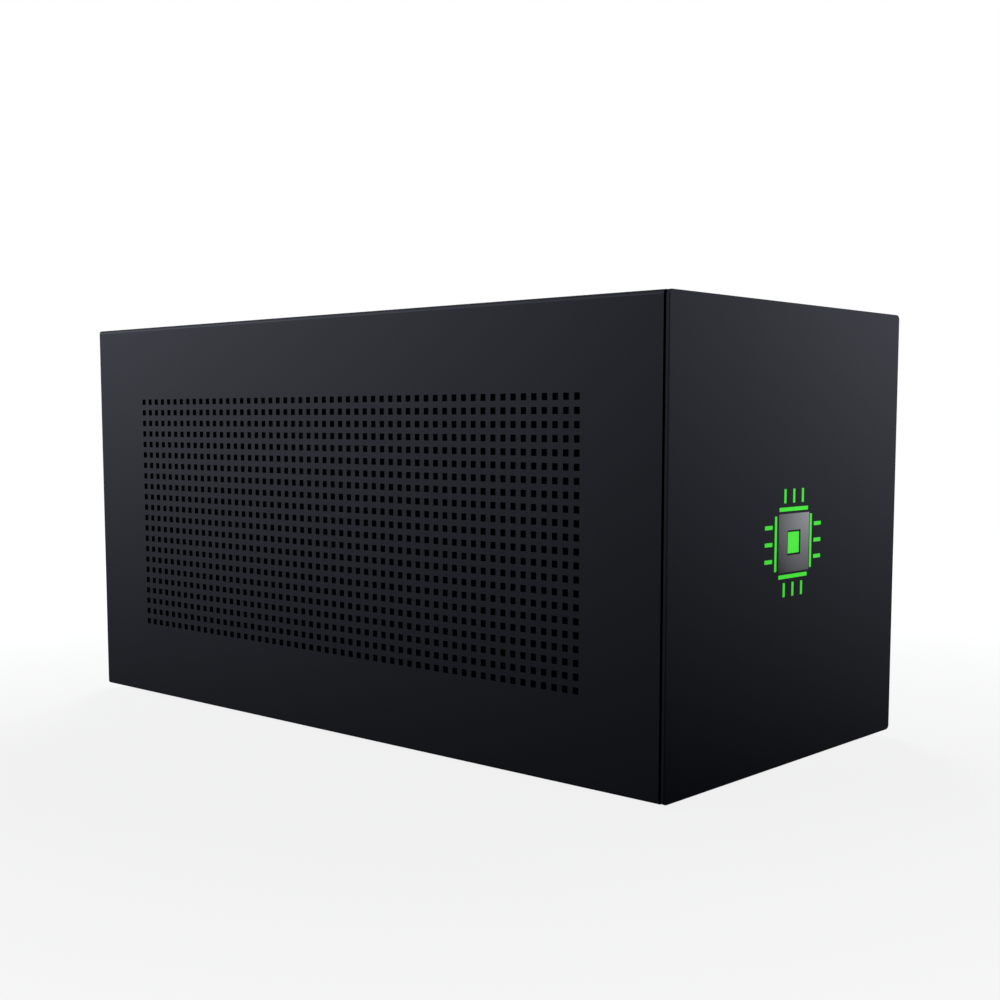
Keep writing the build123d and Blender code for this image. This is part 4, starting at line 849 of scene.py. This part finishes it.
# Painted highlight share at each point, peaking 4 degrees round each upper fold.
highlight_marks = painted_fold_highlight(peak=math.radians(4), width=math.radians(20))
highlight_marks = np.pad(highlight_marks, (0, len(cover_points) - len(highlight_marks))).astype(np.float32)
cover.data.attributes.new("fold", "FLOAT", "POINT").data.foreach_set("value", highlight_marks)

# Dust filters: sheets of fine black mesh glued behind the perforation of each side.
# They are woven from thin plastic thread and keep the inside out of sight through the holes.
# The CAD sheets stay, and the weave is a fine pattern of crossing threads, coloured near black as painted
# shade behind the holes.
WEAVE_INPUTS = {"Vector": "Vector", "Color": "Color", "Gap Color": "Color", "Pitch": "Float"}


def weave_group():
    """Woven mesh: threads along Y and Z, height = max(|sin(pi * y / pitch)|, |sin(pi * z / pitch)|).
    Roughness = 0.85 - 0.1 * height."""
    tree, given, result = texture_group("weave", WEAVE_INPUTS)
    place = add_node(tree, "SeparateXYZ", {0: given["Vector"]}).outputs
    waves = []
    for label in ("Y", "Z"):
        turns = math_node(tree, "DIVIDE", place[label], given["Pitch"])
        wave = math_node(tree, "SINE", math_node(tree, "MULTIPLY", turns, math.pi))
        waves.append(math_node(tree, "ABSOLUTE", wave))
    height = math_node(tree, "MAXIMUM", *waves)
    colour = colour_mix(tree, height, given["Gap Color"], given["Color"])
    gloss = math_node(tree, "MULTIPLY_ADD", height, -0.1, 0.85)
    feed(tree, result, {"Color": colour, "Roughness": gloss, "Height": height})
    return tree


# Painted shade: thread and gaps are far darker than black plastic, so the holes behind the perforation read
# as deep shadow.
filter_shade_values = {"Color": (0.0012, 0.0012, 0.0013, 1), "Gap Color": (0.0003, 0.0003, 0.0003, 1),
               "Pitch": 0.5 * MM}
filter_mesh = finish("filter_mesh", weave_group(), filter_shade_values, bump=0.5, depth=0.1 * MM,
                     sockets={"Specular IOR Level": 0.004})
dress(filter_mesh, "dust_filter_left", "dust_filter_right")

# Thumbscrews: four black anodised knobs with a knurled rim and a captive shank through the cover's tabs.
# They are turned from bar, so one profile spun about Y makes each.
# The CAD knob has twelve flats, and the knurl is cut into the same radius here.
KNOB_LENGTH, KNOB_SIDES, KNURLS = 8 * MM, 160, 20


def thumbscrew(x, z, nose, tip):
    """Knob and shank about an axis along Y, from the shank's tip to the knob's nose. The knurled rows have
    radius * (1 - 0.045 * knurl * (1 - |cos(knurls * angle)|))."""
    seat, chamfer = nose - KNOB_LENGTH, 0.5 * MM
    radius = np.array([1.2, 1.75, 1.75, 4.6, 4.9, 4.9, 4.4, 3.6, 2.8, 2.8, 2.6])[:, None] * MM
    knurl = np.array([0, 0, 0, 0.3, 1, 1, 0.3, 0, 0, 0, 0])[:, None]
    face = nose - np.array([0.8, 0.2, 0.0, 0.0, 1.0, 1.2]) * MM
    along = np.concatenate([[tip, tip + chamfer, seat, seat, seat + chamfer], face])
    angle = np.linspace(0, 2 * np.pi, KNOB_SIDES, endpoint=False)
    reach = radius * (1 - 0.045 * knurl * (1 - abs(np.cos(KNURLS * angle))))
    points, faces = spun(reach, along, KNOB_SIDES, axis="y")
    return points + np.array([x, 0, z]), faces


knob_coat = metal("knob_anodised", (0.035, 0.035, 0.038), roughness=0.38, stretch=(1, 0.05, 1))
for number in (1, 2, 3, 4):
    screw_low, screw_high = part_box(f"cover_screw_{number}")
    screw_x, screw_z = (screw_low.x + screw_high.x) / 2, (screw_low.z + screw_high.z) / 2
    skin(f"thumbscrew_{number}", *thumbscrew(screw_x, screw_z, screw_high.y, screw_low.y), knob_coat,
         f"cover_screw_{number}", "knob_black", [f"cover_screw_{number}"], smooth=30)

# Studio: a white floor whose glow is dimmed near the object as painted shade, so it keeps a soft shadow, four
# cool area lamps and a pale world.
# One lamp stands by the rear of the left side, one by the right edge of the front, one behind, and a weak one
# above. The camera stands where the photograph was taken from, solved from the casing's corners.
WHITE = (1, 1, 1, 1)
AMBIENT = (0.046, 0.051, 0.092, 1)
COOL, PALE = (0.92, 0.96, 1.0), (0.96, 0.98, 1.0)
FLOOR_HALF = 6


def emission_for_sight(tree, strength):
    """Strength that only camera, glossy and transmission rays see, so that it adds no light to the object."""
    path = add_node(tree, "LightPath").outputs
    seen = math_node(tree, "MAXIMUM", path["Is Camera Ray"], path["Is Glossy Ray"])
    seen = math_node(tree, "MAXIMUM", seen, path["Is Transmission Ray"])
    return math_node(tree, "MULTIPLY", seen, strength)


floor_paint = bpy.data.materials.new("floor_paint")
floor_paint.use_nodes = True
floor_tree = floor_paint.node_tree
floor_place = add_node(floor_tree, "TexCoord").outputs["Object"]
away = add_node(floor_tree, "VectorMath", {0: floor_place}, operation="LENGTH").outputs["Value"]
# Painted shade: the glow for sight is 0.86 near the object and rises to 1 by 0.75 m; lamp light brings it
# back to white, so the real shadow shows as the dimmer glow.
brightness = add_node(floor_tree, "MapRange", {
    "Value": away, "From Min": 0.15, "From Max": 0.75, "To Min": 0.86, "To Max": 1.0,
}, interpolation_type="SMOOTHSTEP").outputs[0]
feed(floor_tree, floor_tree.nodes["Principled BSDF"], {
    "Base Color": (0.12, 0.12, 0.12, 1),
    "Roughness": 0.9,
    "Specular IOR Level": 0.0,
    "Emission Color": WHITE,
    "Emission Strength": emission_for_sight(floor_tree, brightness),
})
floor_corners = np.array([[-1, -1, 0], [1, -1, 0], [1, 1, 0], [-1, 1, 0]]) * FLOOR_HALF
floor_mesh = bpy.data.meshes.new("floor")
floor_mesh.from_pydata(floor_corners.tolist(), [], [(0, 1, 2, 3)])
floor_mesh.materials.append(floor_paint)
floor = put("floor", floor_mesh)

world = bpy.data.worlds.new("studio")
bpy.context.scene.world = world
world.use_nodes = True
sky = colour_mix(world.node_tree, emission_for_sight(world.node_tree, 1.0), AMBIENT, WHITE)
feed(world.node_tree, world.node_tree.nodes["Background"], {"Color": sky})


def lamp(name, place, target, size, power, colour):
    """Area lamp of a width and height at a place, facing a target."""
    data = bpy.data.lights.new(name, "AREA")
    data.shape = "RECTANGLE"
    data.size, data.size_y = size
    data.energy = power
    data.color = colour
    light = put(name, data)
    light.location = place
    light.visible_camera = False
    light.rotation_euler = (Vector(target) - Vector(place)).to_track_quat("-Z", "Y").to_euler()


lamp("side_lamp", (-0.516, 0.398, 0.240), (-0.300, 0.411, 0.500), size=(0.89, 0.05), power=7.55, colour=COOL)
lamp("front_lamp", (0.236, -0.594, 0.240), (0.279, -0.400, 0.500), size=(0.51, 0.21), power=5.80, colour=COOL)
lamp("back_lamp", (0.60, 0.60, 0.55), (0.05, 0.10, 0.08), size=(0.50, 0.50), power=7.0, colour=PALE)
lamp("top_lamp", (0.0, 0.0, 0.75), (0.0, 0.0, 0.0), size=(0.16, 0.34), power=0.3, colour=PALE)

yaw, pitch_down = math.radians(47.891), math.radians(5.502)
camera_data = bpy.data.cameras.new("camera")
camera_data.sensor_width = 36.0
camera_data.lens = 50.775
camera_data.shift_y = 0.0556
camera_data.clip_start = 0.01
camera = put("camera", camera_data)
camera.location = (-0.5170, -0.4939, 0.1479)
camera.rotation_euler = (math.pi / 2 - pitch_down, 0, -yaw)
bpy.context.scene.camera = camera
bpy.context.scene.view_settings.view_transform = "Standard"
